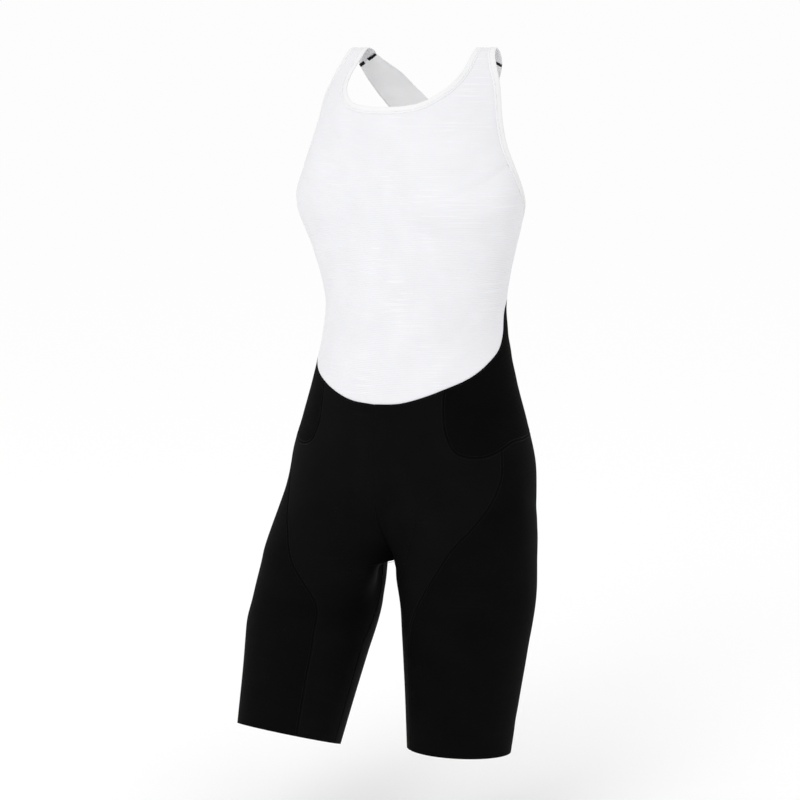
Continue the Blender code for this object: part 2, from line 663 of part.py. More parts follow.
def add_shorts():
    """The black yoke and the three panels of each leg."""
    halves = []
    for name, side in SIDES.items():
        seam = shorts_seams(side)
        add_panel(f"front_panel_{name}", join(
            seam["centre_front"], seam["inseam_front"], seam["hem_front"], seam["leg"][::-1],
            seam["yoke_front"][::-1], seam["waist_front"][::-1])[:-1], side, BLACK_STRETCH)
        add_panel(f"side_panel_{name}", join(
            seam["leg"], seam["hem_side"], seam["back"][::-1],
            seam["yoke_side"][::-1])[:-1], side, BLACK_SIDE)
        add_panel(f"seat_panel_{name}", join(
            seam["back"], seam["hem_seat"], seam["inseam_back"][::-1], seam["centre_back"][::-1],
            seam["yoke_seat"][::-1])[:-1], side, BLACK_STRETCH)
        upper = join(seam["waist_hip"], seam["waist_end"], seam["yoke_corner"],
                     seam["yoke_strap"], seam["yoke_top"])
        lower = join(seam["yoke_front"], seam["yoke_side"], seam["yoke_seat"])
        halves.append((upper, lower))
    (left_upper, left_lower), (right_upper, right_lower) = halves
    right_upper = [(turn + 360.0, drop) for turn, drop in right_upper]
    right_lower = [(turn + 360.0, drop) for turn, drop in right_lower]
    add_panel("back_yoke", join(left_upper, right_upper[::-1], right_lower, left_lower[::-1])[:-1],
              1, BLACK_YOKE)


def main():
    """Build the whole garment in an empty scene."""
    for old in list(bpy.data.objects):
        bpy.data.objects.remove(old, do_unlink=True)
    add_bib()
    add_shorts()


main()
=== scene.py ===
"""Cycling bib shorts, filled out as they are worn: every cut piece as fine cloth, with its seams.

Metres, +Z up, the front facing -Y and the wearer's left at +X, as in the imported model. Each
piece is cut flat in pattern space, marked off in an even grid, and laid on one form. A pattern
point is (turn, drop): turn is the angle round the form in degrees, 0 at the centre front and
90 at the left side, negative on the right, and drop is the distance below the shoulders in
millimetres. Below the fork the same angle runs round one leg.
"""

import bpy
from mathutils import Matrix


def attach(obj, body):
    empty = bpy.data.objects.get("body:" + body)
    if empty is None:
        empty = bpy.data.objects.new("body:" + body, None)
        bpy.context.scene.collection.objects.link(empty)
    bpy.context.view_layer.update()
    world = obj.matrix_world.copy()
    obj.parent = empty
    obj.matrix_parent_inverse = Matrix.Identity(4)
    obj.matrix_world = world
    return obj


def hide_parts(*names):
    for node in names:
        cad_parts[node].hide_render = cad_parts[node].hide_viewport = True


bl_info = {
    "name": "Cycling bib shorts",
    "version": (1, 0, 0),
    "blender": (4, 5, 0),
    "location": "View3D > Sidebar > Bib shorts",
    "description": "Makes the cut pieces, bindings and stitching of a pair of cycling bib shorts",
    "category": "Add Mesh",
}

from math import ceil, cos, floor, pi, radians, sin, tan

import bmesh
import bpy
import numpy as np
from bpy.props import FloatProperty, FloatVectorProperty, PointerProperty
from mathutils import Matrix, Vector

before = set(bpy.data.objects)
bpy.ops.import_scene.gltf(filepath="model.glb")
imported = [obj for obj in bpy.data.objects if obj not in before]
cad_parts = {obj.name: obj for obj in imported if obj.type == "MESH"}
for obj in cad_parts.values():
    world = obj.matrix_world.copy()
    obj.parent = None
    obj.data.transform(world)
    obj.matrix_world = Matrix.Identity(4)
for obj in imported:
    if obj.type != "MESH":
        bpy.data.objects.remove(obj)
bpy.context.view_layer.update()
BODY_NAME = "root"
MM = 0.001

BINDING_WIDTH = 9.0
TURN_SCALE = 2.4            # millimetres of cloth for one degree of turn, on average

FORK_TOP = 516.0            # drop where the two legs begin to part
CROTCH = 640.0              # drop of the lowest point between the legs
HEM = 871.0                 # drop of the hems, along the legs

# ---------------------------------------------------------------- form of the body
# A row for each drop: height z, half width, y of the widest line, y at the centre front,
# y at the centre back, and the squareness of the front and back halves (2 is an ellipse).
BODY_COLUMNS = ("drop", "z", "half_width", "side_y", "front_y", "back_y", "front_n", "back_n")
BODY = (
    (-28.0, -24.0, 150.0, 116.0, -8.0, 130.0, 2.0, 2.0),
    (-14.0, -10.0, 150.0, 113.0, -12.0, 124.0, 2.0, 2.0),
    (-7.0, -2.8, 150.0, 107.0, -18.0, 117.0, 2.0, 2.0),
    (0.0, 0.0, 150.0, 99.0, -26.0, 110.0, 2.0, 2.0),
    (7.0, -2.8, 150.0, 91.0, -34.0, 105.0, 2.0, 2.0),
    (14.0, -10.0, 150.0, 82.0, -44.0, 100.0, 2.0, 2.0),
    (22.0, -19.0, 150.0, 74.0, -56.0, 96.0, 2.0, 2.0),
    (34.0, -33.0, 150.0, 63.0, -76.0, 92.0, 2.0, 2.0),
    (63.0, -63.0, 150.0, 48.0, -110.0, 88.0, 2.0, 2.0),
    (85.0, -85.0, 148.0, 30.0, -120.0, 85.0, 2.0, 2.0),
    (118.0, -118.0, 149.0, 2.0, -121.0, 82.0, 2.1, 2.0),
    (150.0, -150.0, 149.0, -26.0, -120.0, 78.0, 2.3, 2.0),
    (185.0, -185.0, 152.0, -46.0, -119.0, 74.0, 2.4, 2.0),
    (235.0, -235.0, 140.0, -40.0, -120.0, 70.0, 2.1, 2.0),
    (280.0, -280.0, 126.0, -31.0, -121.0, 66.0, 2.0, 2.0),
    (320.0, -320.0, 119.0, -25.0, -123.0, 63.0, 2.0, 2.0),
    (362.0, -362.0, 124.0, -25.0, -127.0, 66.0, 2.0, 2.0),
    (413.0, -413.0, 135.0, -29.0, -134.0, 72.0, 2.0, 2.0),
    (465.0, -465.0, 150.5, -33.0, -136.0, 83.0, 2.0, 2.0),
    (515.0, -515.0, 162.5, -40.0, -137.0, 90.0, 2.1, 2.1),
    (565.0, -565.0, 166.0, -46.0, -134.0, 88.0, 2.1, 2.1),
    (660.0, -660.0, 177.0, -55.0, -130.0, 80.0, 2.1, 2.1),
)
# The tops of the shoulders turn forward by this much for each millimetre outward.
SHOULDER_TURN = 0.5
SHOULDER_TURN_X = 75.0
SHOULDER_TURN_DROP = 45.0   # the turn is gone by this drop
CHEST_FULLNESS = 8.0        # how far the cut stands out over the chest
CHEST_TURN = 40.0
CHEST_DROP = 185.0
CHEST_SPREAD_TURN = 26.0
CHEST_SPREAD_DROP = 42.0

# ---------------------------------------------------------------- form of a leg
# A row for each drop down a leg, measured from its centre line: half width toward the other leg
# and to the outside, depth to the front and to the back.
LEG_COLUMNS = ("drop", "inner", "outer", "front", "back")
LEG = (
    (516.0, 84.0, 80.0, 93.0, 106.0),
    (570.0, 84.0, 84.0, 90.0, 102.0),
    (626.0, 84.0, 86.0, 87.0, 94.0),
    (670.0, 82.0, 88.0, 86.0, 87.0),
    (730.0, 77.0, 82.0, 81.0, 79.0),
    (800.0, 71.0, 73.0, 73.0, 71.0),
    (871.0, 65.5, 65.0, 66.5, 64.0),
)
HIP_X = 90.0
HIP_Y = -45.0
HIP_DROP = 520.0
# How far each leg leans sideways and forward for each millimetre down: the pose is a short
# step, with the right leg in front.
LEG_LEAN = {1: (0.009, -0.11), -1: (0.059, -0.337)}
CROTCH_Y = -62.0
ARCH_WIDTH = {1: 11.0, -1: 29.0}  # of the flat arch between the legs, on each side
ARCH_DROP = 10.0
ARCH_RUN = 70.0             # away from the crotch the same width opens over this drop
ARCH_FRONT = (0.1, 0.6)     # sines of the angles round a leg between which it changes over
ARCH_BACK = (0.5, 1.0)
LEG_SQUARE_RUN = 110.0      # the leg's own sections take over in this distance below the crotch
FORK_POWER = 3.2            # how long the front stays full before it turns under
FORK_EDGE = 42.0            # turn, from the centre seams, that dips into the crotch

# ---------------------------------------------------------------- form of the upper back
# A row for each drop: y at the centre back, and how fast the back curves away to the sides.
BACK_COLUMNS = ("drop", "centre_y", "curve")
BACK = (
    (10.0, 22.0, 0.0029),
    (33.0, 36.0, 0.0027),
    (48.0, 46.5, 0.0026),
    (62.0, 53.0, 0.0025),
    (105.0, 63.0, 0.0024),
    (147.0, 68.0, 0.0025),
    (206.0, 70.0, 0.0029),
    (258.0, 67.0, 0.0034),
    (300.0, 64.0, 0.0038),
)

# ---------------------------------------------------------------- seams, as (turn, drop) rows
WAIST_SEAM = ((0.0, 433.0), (19.0, 430.0), (36.0, 420.0), (46.0, 412.0), (62.0, 398.0),
              (75.0, 381.0), (84.0, 367.0), (90.0, 350.0), (97.0, 320.0), (106.0, 309.0),
              (118.0, 302.0), (123.0, 300.0))
WAIST_YOKE_ROW = 3          # where the yoke's front edge meets the waist seam
WAIST_BINDING_ROW = 10      # where the armhole binding's inner line meets it
YOKE_FRONT = ((46.0, 412.0), (45.5, 440.0), (47.5, 468.0), (53.0, 489.0), (62.0, 495.0),
              (69.0, 493.0), (75.0, 487.0))
YOKE_BACK = ((75.0, 487.0), (81.0, 480.0), (92.0, 478.0), (137.0, 476.0), (160.0, 476.0),
             (180.0, 477.0))
YOKE_SEAT_ROW = 3           # where the back seam meets the yoke
YOKE_TOP = ((123.0, 300.0), (127.0, 298.0), (150.0, 292.0), (180.0, 290.0))
YOKE_STRAP_ROWS = (1, 2)    # a strap is sewn on between these two rows
LEG_SEAM = ((75.0, 487.0), (74.0, 523.0), (71.0, 547.0), (61.0, 583.0), (53.0, 604.0),
            (44.0, 640.0), (36.5, 679.0), (30.5, 715.0), (28.0, 745.0), (27.0, 800.0),
            (25.5, 871.0))
BACK_SEAM = ((137.0, 476.0), (141.0, 540.0), (145.0, 620.0), (148.0, 700.0), (149.0, 871.0))
NECK_EDGE = ((0.0, 71.0), (9.0, 70.0), (17.0, 66.0), (24.0, 55.0), (30.5, 40.0),
             (33.5, 28.0), (35.0, 14.0), (35.0, 0.0), (33.5, -10.0))
ARMHOLE_EDGE = ((47.8, -26.0), (47.7, -14.0), (48.0, 0.0), (50.5, 18.0), (52.5, 34.0),
                (55.0, 63.0), (61.0, 88.0), (70.0, 118.0), (84.0, 150.0), (100.0, 184.0),
                (112.0, 204.0), (119.0, 235.0), (122.0, 270.0), (123.0, 300.0))
SHOULDER_BINDING = 0.26     # share of the shoulder seam that each binding takes

# ---------------------------------------------------------------- straps, as (x, drop) rows
# The strap from the left shoulder; the other is its mirror image. The upper edge starts at
# the neck and the lower edge at the armhole.
STRAP_UPPER = ((61.0, 18.0), (50.0, 29.0), (39.0, 47.0), (25.0, 64.0), (0.0, 100.0),
               (-36.0, 158.0), (-67.0, 215.0), (-84.0, 262.0))
STRAP_LOWER = ((96.0, 40.0), (91.0, 51.0), (79.0, 71.0), (39.0, 134.0), (0.0, 206.0),
               (-28.0, 252.0), (-42.0, 274.0))
STRAP_TRIM = {1: 6.0, -1: 0.0}   # the left strap's lower edge is cut in by this near its top
STRAP_TRIM_DROP = 70.0      # and less and less from here
STRAP_TRIM_FADE = 90.0
STRAP_CROSS_RISE = {1: 2.4, -1: 0.0}  # the left strap passes over the right one by this much
STRAP_CROSS_FLAT = 60.0     # all over the crossing, then down to the common back form
STRAP_CROSS_END = 100.0
STRAP_END_FADE = 0.16       # share of the strap that turns from the shoulder to the back form

SIDES = {"left": 1, "right": -1}
# ---------------------------------------------------------------- fineness, edges, millimetres
SMALL_TURN = 0.25           # steps that read the slope of the form
SMALL_DROP = 0.5
TINY_DROP = 0.001
TINY = 1e-6                 # lengths below this count as none
CUT_NEAR = 1e-4             # a grid line this near a point goes through it
CUT_MERGE = 0.05            # points of a cut piece nearer than this become one
CURVE_SAMPLES = 481
LEAD_POINTS = 3             # points that lead a shifted line to the seam it meets
PATTERN_UV = "Pattern"
EDGE_ROWS = (0.9, 1.4)      # widths of the two narrow rows inside every outline
NARROW_CORNER = 80.0        # corners with a smaller opening get straight sides, in degrees
SEAM_CORNER = 150.0         # where the outline turns more than this it is a corner
CORNER_SPARE = 1.5
SEAM_ROLL = 0.55            # how deep an edge rolls into its seam
SEAM_ROLL_WIDTH = 1.3
BUTTED_ROLL = 0.15          # the centre seams are flat, edge to edge
SEAM_SWELL = 0.22           # the turned-in edges lift the cloth beside a seam
SEAM_SWELL_AT = 3.2
SEAM_SWELL_WIDTH = 1.8
BOUND_TUCK = 0.5            # how deep an edge goes under its binding
BOUND_TUCK_WIDTH = 2.0
FOLD_BOW = 0.16             # how far a fold bends over its length
FOLD_FADE = 1.6             # how quickly it fades past its ends
BINDING_RIPPLE = 0.08       # height of the small waves along a binding
BINDING_RIPPLE_STEP = 1.9   # how far a wave runs from point to point
BINDING_RIPPLE_DRIFT = (0.8, 0.37)  # keeps the waves uneven
# Share of the width from the panel to the free edge, and height over the form.
BINDING_PROFILE = ((-0.06, -0.25), (0.0, 0.25), (0.12, 0.34), (0.22, 0.20), (0.32, 0.38),
                   (0.60, 0.48), (0.85, 0.42), (0.97, 0.05), (1.0, -0.55), (0.97, -1.15),
                   (0.80, -1.45), (0.30, -1.45), (0.0, -1.35), (-0.06, -0.9), (-0.06, -0.25))
BINDING_THREAD = 2.0        # from the inner line of a binding to its stitches
BINDING_THREAD_LIFT = 0.3
STRAP_ROWS_FINE = 110
STRAP_STEPS = 16
STRAP_HEM_RISE = 0.35       # how far the folded edge of a strap stands out
STRAP_HEM_AT = 1.3          # its place and width, in steps across the strap
STRAP_HEM_WIDTH = 1.1
STRAP_WAVE = 0.25           # the strap waves by this much down its length
STRAP_WAVE_ANGLE = 9.0      # and goes through this angle in all, in radians
STRAP_THREAD_STEP = 2       # its stitches lie this many steps from each edge
STRAP_THREAD_LIFT = 0.3
STITCH_ENDS = (0.6, 0.4)    # room left at the ends of a row, in stitches
STITCH_SHOWN = 0.72         # share of each stitch that shows
STITCH_LIFT = 0.25          # from the cloth to a thread's middle, in its radii
STITCH_SIDES = 6
SEAM_THREADS = (2.0, -2.0)  # rows of stitches beside each seam of the shorts
WAIST_THREAD = 1.9
TACK_STEPS = 24
TACK_SPANS = ((0.04, 0.50), (0.72, 0.98))   # shares of the shoulder seam that the tacks cover
TACK_REACH = (-0.8, 3.4)    # how far along the strap its stitches go back and forth
TACK_TURNS = 26
TACK_AIM_ROW = 2            # row of the strap that gives their direction
TACK_SIDES = 8
TACK_RADIUS = 0.35
TACK_LIFT = 0.3
PAD_PITCH = 4.6             # the stitches of the pad show as dots
PAD_SHOWN = 0.3
PAD_THREAD = 1.6            # how much thicker its thread is than the seams'
PAD_THREAD_LIFT = -0.2

# ---------------------------------------------------------------- knits and thread
WALE_SHARE = 0.35           # height of a knit's upright rows of loops
RIB_SHARE = 0.65            # of its cross rows
RUN_SHARE = 1.5             # and of its runs, the light streaks across it
RUN_WIDTH = 0.9             # of a run, in cross rows
RUN_EDGE = (0.56, 0.68)     # a run comes up between these values of its noise
RUN_PATCH_SCALE = 13.0      # runs come in patches
RUN_PATCH_EDGE = (0.45, 0.62)
TONE_SCALE = 22.0
TONE_DETAIL = 4.0
TONE_EDGE = (0.3, 0.7)
KNIT_RELIEF = 0.0004        # height of the loops, in metres
TWIST_SCALE = 2600.0        # fineness of the twist of a thread
TWIST_BUMP = 0.4
TWIST_RELIEF = 0.0002       # height of its twist, in metres
TWIST_ROUGHNESS = (0.45, 0.65)
THREAD_ROUGHNESS = 0.55
THREAD_GLOSS = 0.15

# ---------------------------------------------------------------- stage, in metres
FLOOR_HEIGHT = -1.0
FLOOR_SIZE = 60.0
FLOOR_ROUGHNESS = 0.9
WORLD_LIGHT = 0.98
# A row for each light: azimuth, height, distance, size and power.
LIGHTS = {
    "Key light": (2.0, 1.0, 2.6, 1.4, 16.0),
}
LIGHT_AIM = (0.0, -0.02, -0.42)
CAMERA_LENS = 106.9
CAMERA_SENSOR = 36.0
CAMERA_AZIMUTH = 28.0
CAMERA_DISTANCE = 3.0
CAMERA_HEIGHT = 0.0
CAMERA_TILT = 8.44
CAMERA_PAN = 0.62

# ---------------------------------------------------------------- folds in the cloth
# A row for each: turn and drop at one end and at the other, width and height in millimetres.
# A trough has a negative height.
BIB_FOLDS = (
    (54.0, 180.0, 76.0, 143.0, 5.0, -1.6),
    (56.0, 170.0, 74.0, 138.0, 5.0, 1.0),
    (64.0, 192.0, 92.0, 176.0, 7.0, -0.9),
    (-52.0, 176.0, -73.0, 146.0, 5.5, -1.3),
    (-54.0, 168.0, -72.0, 140.0, 5.5, 0.8),
    (-66.0, 196.0, -94.0, 182.0, 7.0, -0.8),
    (22.0, 212.0, 58.0, 236.0, 14.0, -1.3),
    (-20.0, 214.0, -60.0, 232.0, 14.0, -1.2),
    (60.0, 230.0, 86.0, 262.0, 12.0, -1.0),
    (-62.0, 232.0, -88.0, 258.0, 12.0, -0.9),
    (70.0, 320.0, 40.0, 372.0, 13.0, -0.8),
    (-68.0, 326.0, -42.0, 366.0, 13.0, -0.7),
    (88.0, 300.0, 60.0, 340.0, 10.0, 0.6),
    (-88.0, 304.0, -62.0, 344.0, 10.0, 0.5),
    (36.0, 90.0, 20.0, 128.0, 10.0, -0.6),
    (-35.0, 92.0, -22.0, 132.0, 10.0, -0.6),
    (108.0, 230.0, 96.0, 290.0, 9.0, -0.8),
    (-108.0, 234.0, -97.0, 286.0, 9.0, -0.8),
)
LEG_FOLDS = (
    (8.0, 600.0, 52.0, 560.0, 8.0, -1.0),
    (10.0, 622.0, 58.0, 600.0, 9.0, -1.0),
    (14.0, 640.0, 50.0, 652.0, 8.0, -0.8),
    (20.0, 575.0, 46.0, 536.0, 9.0, 0.7),
    (96.0, 556.0, 150.0, 622.0, 12.0, -1.2),
    (110.0, 600.0, 168.0, 640.0, 10.0, -1.4),
    (124.0, 560.0, 172.0, 604.0, 11.0, -1.0),
    (150.0, 650.0, 172.0, 690.0, 9.0, -0.9),
    (60.0, 700.0, 100.0, 742.0, 16.0, -0.6),
    (36.0, 790.0, 66.0, 812.0, 14.0, -0.5),
    (112.0, 762.0, 148.0, 748.0, 14.0, -0.7),
    (92.0, 828.0, 130.0, 838.0, 12.0, -0.5),
)
YOKE_FOLDS = (
    (92.0, 356.0, 150.0, 372.0, 12.0, -1.2),
    (100.0, 388.0, 160.0, 398.0, 12.0, -1.0),
    (120.0, 330.0, 172.0, 340.0, 10.0, -0.9),
    (-94.0, 352.0, -148.0, 366.0, 12.0, -1.1),
    (-102.0, 392.0, -158.0, 404.0, 12.0, -1.0),
    (-122.0, 326.0, -170.0, 334.0, 10.0, -0.8),
)

# ---------------------------------------------------------------- seat pad seen from outside
# The line of stitches that holds the seat pad, down the front and up the back of one leg, and
# the small puckers across it. Its thread shows only from the third row of the front.
PAD_STITCH = ((0.0, 549.0), (14.0, 549.0), (27.0, 555.0), (33.0, 572.0), (31.0, 590.0),
              (29.0, 610.0), (25.0, 640.0), (20.0, 661.0))
PAD_STITCH_BACK = ((160.0, 661.0), (155.0, 630.0), (152.0, 600.0), (156.0, 574.0),
                   (166.0, 560.0), (180.0, 556.0))
PAD_THREAD_ROW = 2
PAD_GROOVE = 0.4            # how deep the stitches draw the cloth in, in millimetres
PAD_GROOVE_WIDTH = 3.0
PUCKER_PITCH = 6.5
PUCKER_DRIFT = (0.9, 17.0)  # keeps the puckers uneven
PUCKER_DEPTH = 0.45
PUCKER_REACH = 7.0

# ---------------------------------------------------------------- the form, read all at once
TABLE_STEP = 0.5            # millimetres between the stored rows of a table


def hermite(at, value, place):
    """Read a smooth curve through the points (at, value) at a place between them."""
    step = np.diff(at)
    slope = np.diff(value) / step
    inside = (slope[:-1] * step[1:] + slope[1:] * step[:-1]) / (step[1:] + step[:-1])
    tangent = np.concatenate(([slope[0]], inside, [slope[-1]]))
    place = np.clip(place, at[0], at[-1])
    row = np.clip(np.searchsorted(at, place, side="right") - 1, 0, len(step) - 1)
    t = (place - at[row]) / step[row]
    ends = (2 * t**3 - 3 * t**2 + 1) * value[row] + (3 * t**2 - 2 * t**3) * value[row + 1]
    bends = (t**3 - 2 * t**2 + t) * tangent[row] + (t**3 - t**2) * tangent[row + 1]
    return ends + step[row] * bends


def reader(table, columns):
    """Make a function that gives a table's columns at many drops at once."""
    at = np.array([row[0] for row in table])
    fine = np.arange(at[0], at[-1] + TABLE_STEP, TABLE_STEP)
    stored = {name: hermite(at, np.array([row[k] for row in table]), fine)
              for k, name in enumerate(columns) if k}

    def read(drop):
        return {name: np.interp(drop, fine, values) for name, values in stored.items()}

    return read


read_body = reader(BODY, BODY_COLUMNS)
read_leg = reader(LEG, LEG_COLUMNS)
read_back = reader(BACK, BACK_COLUMNS)


def run_along(points):
    """How far along a line each of its points is."""
    return np.concatenate(([0.0], np.cumsum(np.linalg.norm(np.diff(points, axis=0), axis=1))))


def ease(t):
    """Run from 0 to 1 with a soft start and a soft end."""
    t = np.clip(t, 0.0, 1.0)
    return t * t * (3.0 - 2.0 * t)


def body_points(turn, drop):
    """Points on the left half of the body's form, from the centre front to the centre back."""
    size = read_body(drop)
    angle = np.radians(turn)
    front = turn <= 90.0
    depth = np.where(front, size["side_y"] - size["front_y"], size["back_y"] - size["side_y"])
    power = np.where(front, size["front_n"], size["back_n"])
    reach = ((np.abs(np.sin(angle)) / size["half_width"]) ** power
             + (np.abs(np.cos(angle)) / depth) ** power) ** (-1.0 / power)
    off_turn = (turn - CHEST_TURN) / CHEST_SPREAD_TURN
    mirrored = (turn + CHEST_TURN) / CHEST_SPREAD_TURN
    off_drop = (drop - CHEST_DROP) / CHEST_SPREAD_DROP
    lobes = np.exp(-off_turn**2) + np.exp(-mirrored**2)
    reach = reach + CHEST_FULLNESS * lobes * np.exp(-off_drop**2)
    x = reach * np.sin(angle)
    turned = SHOULDER_TURN * (1.0 - ease(drop / SHOULDER_TURN_DROP)) * (x - SHOULDER_TURN_X)
    y = size["side_y"] - reach * np.cos(angle) - turned
    return np.stack((x, y, size["z"]), axis=-1)


def leg_points(side, turn, drop):
    """Points round a leg, as a left leg; below the crotch its sections turn square to it."""
    lean_x, lean_y = LEG_LEAN[side]
    below = np.maximum(drop - CROTCH, 0.0)
    height = drop - below + below / (1.0 + lean_x**2 + lean_y**2) ** 0.5
    centre_x = HIP_X + lean_x * (height - HIP_DROP)
    centre_y = HIP_Y + lean_y * (height - HIP_DROP)
    size = read_leg(drop)
    angle = np.radians(2.0 * turn)
    own = ease(below / LEG_SQUARE_RUN)
    beside = np.abs(np.sin(angle))
    front = np.sin(angle) > 0.0
    near = np.where(front, ARCH_FRONT[0], ARCH_BACK[0])
    far = np.where(front, ARCH_FRONT[1], ARCH_BACK[1])
    local = 1.0 - ease((beside - near) / (far - near))
    quick = (1.0 - (1.0 - np.minimum(below / ARCH_DROP, 1.0)) ** 2) ** 0.5
    arch = ARCH_WIDTH[side] * (local * quick + (1.0 - local) * ease(below / ARCH_RUN))
    pole_y = (1.0 - own) * CROTCH_Y + own * centre_y
    inner = (1.0 - own) * (centre_x - arch) + own * size["inner"]
    wide = np.where(np.cos(angle) > 0.0, inner, size["outer"])
    deep = np.where(np.sin(angle) > 0.0, pole_y - centre_y + size["front"],
                    centre_y - pole_y + size["back"])
    reach = ((np.cos(angle) / wide) ** 2 + (np.sin(angle) / deep) ** 2) ** -0.5
    x = centre_x - reach * np.cos(angle)
    y = pole_y - reach * np.sin(angle)
    rise = own * (lean_x * (x - centre_x) + lean_y * (y - centre_y))
    return np.stack((x, y, rise - height), axis=-1)


def fork_points(side, turn, drop):
    """Points between the body and the legs, where the cloth dips down to the crotch."""
    share = (drop - FORK_TOP) / (CROTCH - FORK_TOP)
    near = 1.0 - ease(np.minimum(turn, 180.0 - turn) / FORK_EDGE)
    front = turn < 90.0
    under = np.where(front, share**FORK_POWER, 1.0 - np.cos(share * pi / 2.0))
    down = np.where(front, share, np.sin(share * pi / 2.0))
    blend = (1.0 - near) * ease(share) + near * under
    dip = (1.0 - near) * share + near * down
    height = FORK_TOP + (CROTCH - FORK_TOP) * dip
    blend = blend[..., None]
    return body_points(turn, height) * (1.0 - blend) + leg_points(side, turn, height) * blend


def half_points(side, turn, drop):
    """The form on one side of the garment, for turns from 0 to 180."""
    point = body_points(turn, drop)
    fork = (drop > FORK_TOP) & (drop <= CROTCH)
    leg = drop > CROTCH
    if fork.any():
        point[fork] = fork_points(side, turn[fork], drop[fork])
    if leg.any():
        point[leg] = leg_points(side, turn[leg], drop[leg])
    return point * np.array((side, 1.0, 1.0))


def form_points(turn, drop, side):
    """The outer surface at pattern points, in millimetres; centre pieces use side 1."""
    turn = np.array(turn, dtype=float) * side
    drop = np.array(drop, dtype=float)
    turn = np.where(turn < -90.0, turn + 360.0, turn)
    leg = drop > CROTCH
    last = np.where(turn % 360.0 == 180.0, 180.0, 0.0)
    turn = np.where(leg, turn % 360.0 % 180.0 + last, turn)
    over = ~leg & ((turn < 0.0) | (turn > 180.0))
    turn = np.where(over, np.where(turn < 0.0, -turn, 360.0 - turn), turn)
    point = np.empty(turn.shape + (3,))
    for here, own_side in ((~over, side), (over, -side)):
        if here.any():
            point[here] = half_points(own_side, turn[here], drop[here])
    return point


def form_frames(turn, drop, side):
    """How the surface runs for a degree and for a millimetre, and the way out of the cloth."""
    turn = np.array(turn, dtype=float)
    drop = np.array(drop, dtype=float)
    low = np.maximum(drop - SMALL_DROP, BODY[0][0])
    high = np.minimum(drop + SMALL_DROP, HEM)
    across = (low < CROTCH) & (high > CROTCH)
    low = np.where(across & (drop > CROTCH), CROTCH + TINY_DROP, low)
    high = np.where(across & (drop <= CROTCH), CROTCH, high)
    by_turn = form_points(turn + SMALL_TURN, drop, side) - form_points(turn - SMALL_TURN, drop, side)
    by_drop = form_points(turn, high, side) - form_points(turn, low, side)
    by_turn = by_turn / (2.0 * SMALL_TURN)
    by_drop = by_drop / (high - low)[..., None]
    out = np.cross(by_drop, by_turn)
    centre = (drop <= CROTCH) & (turn % 180.0 == 0.0)
    out[..., 0] = np.where(centre, 0.0, out[..., 0])
    out[..., 1] = np.where(centre & (drop == CROTCH), 0.0, out[..., 1])
    length = np.linalg.norm(out, axis=-1, keepdims=True)
    out = np.where(length > TINY, out / np.maximum(length, TINY), np.array((0.0, 0.0, -1.0)))
    return by_turn, by_drop, out


# ---------------------------------------------------------------- seams in pattern space
def curve_through(rows, first=0, last=None, spacing=4.0, side=1):
    """Pattern points along a smooth seam through its rows, evenly spaced on the form."""
    rows = np.array(rows, dtype=float)
    rows[:, 0] *= side
    last = len(rows) - 1 if last is None else last
    steps = np.hypot(np.diff(rows[:, 0]) * TURN_SCALE, np.diff(rows[:, 1]))
    run = np.concatenate(([0.0], np.cumsum(steps)))
    places = np.linspace(run[first], run[last], CURVE_SAMPLES)
    solid = form_points(hermite(run, rows[:, 0], places), hermite(run, rows[:, 1], places), side)
    length = run_along(solid)
    count = max(ceil(length[-1] / spacing), 1)
    marks = np.interp(np.linspace(0.0, length[-1], count + 1), length, places)
    return list(zip(hermite(run, rows[:, 0], marks).tolist(),
                    hermite(run, rows[:, 1], marks).tolist()))


def join(*lines):
    """Join seams end to end into one line of pattern points, without the doubled ends."""
    joined = []
    for line in lines:
        joined += line if not joined else line[1:]
    return joined


def mirrored(line):
    """The same seam on the other side."""
    return [(-turn, drop) for turn, drop in line]


def shift_line(line, distance, side):
    """Move a line of pattern points across the cloth, to its left, by a true distance."""
    turn, drop = np.array(line).T
    by_turn, by_drop, out = form_frames(turn, drop, side)
    along = np.gradient(form_points(turn, drop, side), axis=0)
    left = np.cross(out, along)
    left /= np.linalg.norm(left, axis=1, keepdims=True)
    moved = []
    for k in range(len(line)):
        slopes = np.column_stack((by_turn[k], by_drop[k]))
        change = np.linalg.lstsq(slopes, left[k] * distance, rcond=None)[0]
        moved.append((turn[k] + float(change[0]), drop[k] + float(change[1])))
    return moved


def shoulder_point(share):
    """A pattern point on the shoulder seam, from the neck to the armhole."""
    neck, armhole = np.array(NECK_EDGE[-1]), np.array(ARMHOLE_EDGE[0])
    turn, drop = neck + (armhole - neck) * share
    return float(turn), float(drop)


def led_to(point, line):
    """Lead the start of a line straight to a point on another seam."""
    meets = np.array(line[LEAD_POINTS])
    shares = np.arange(LEAD_POINTS) / LEAD_POINTS
    led = [tuple((np.array(point) * (1.0 - share) + meets * share).tolist()) for share in shares]
    return led + line[LEAD_POINTS:]


def bound_edges():
    """The free edges of the left half of the bib and the lines where its bindings meet it."""
    neck = curve_through(NECK_EDGE)
    neck_line = shift_line(neck, -BINDING_WIDTH, 1)
    neck_line[0] = (0.0, neck_line[0][1])
    neck_line = led_to(shoulder_point(SHOULDER_BINDING), neck_line[::-1])[::-1]
    armhole = curve_through(ARMHOLE_EDGE)
    armhole_line = shift_line(armhole, -BINDING_WIDTH, 1)
    armhole_line = led_to(shoulder_point(1.0 - SHOULDER_BINDING), armhole_line)
    armhole_line = led_to(WAIST_SEAM[WAIST_BINDING_ROW], armhole_line[::-1])[::-1]
    return neck, neck_line, armhole, armhole_line


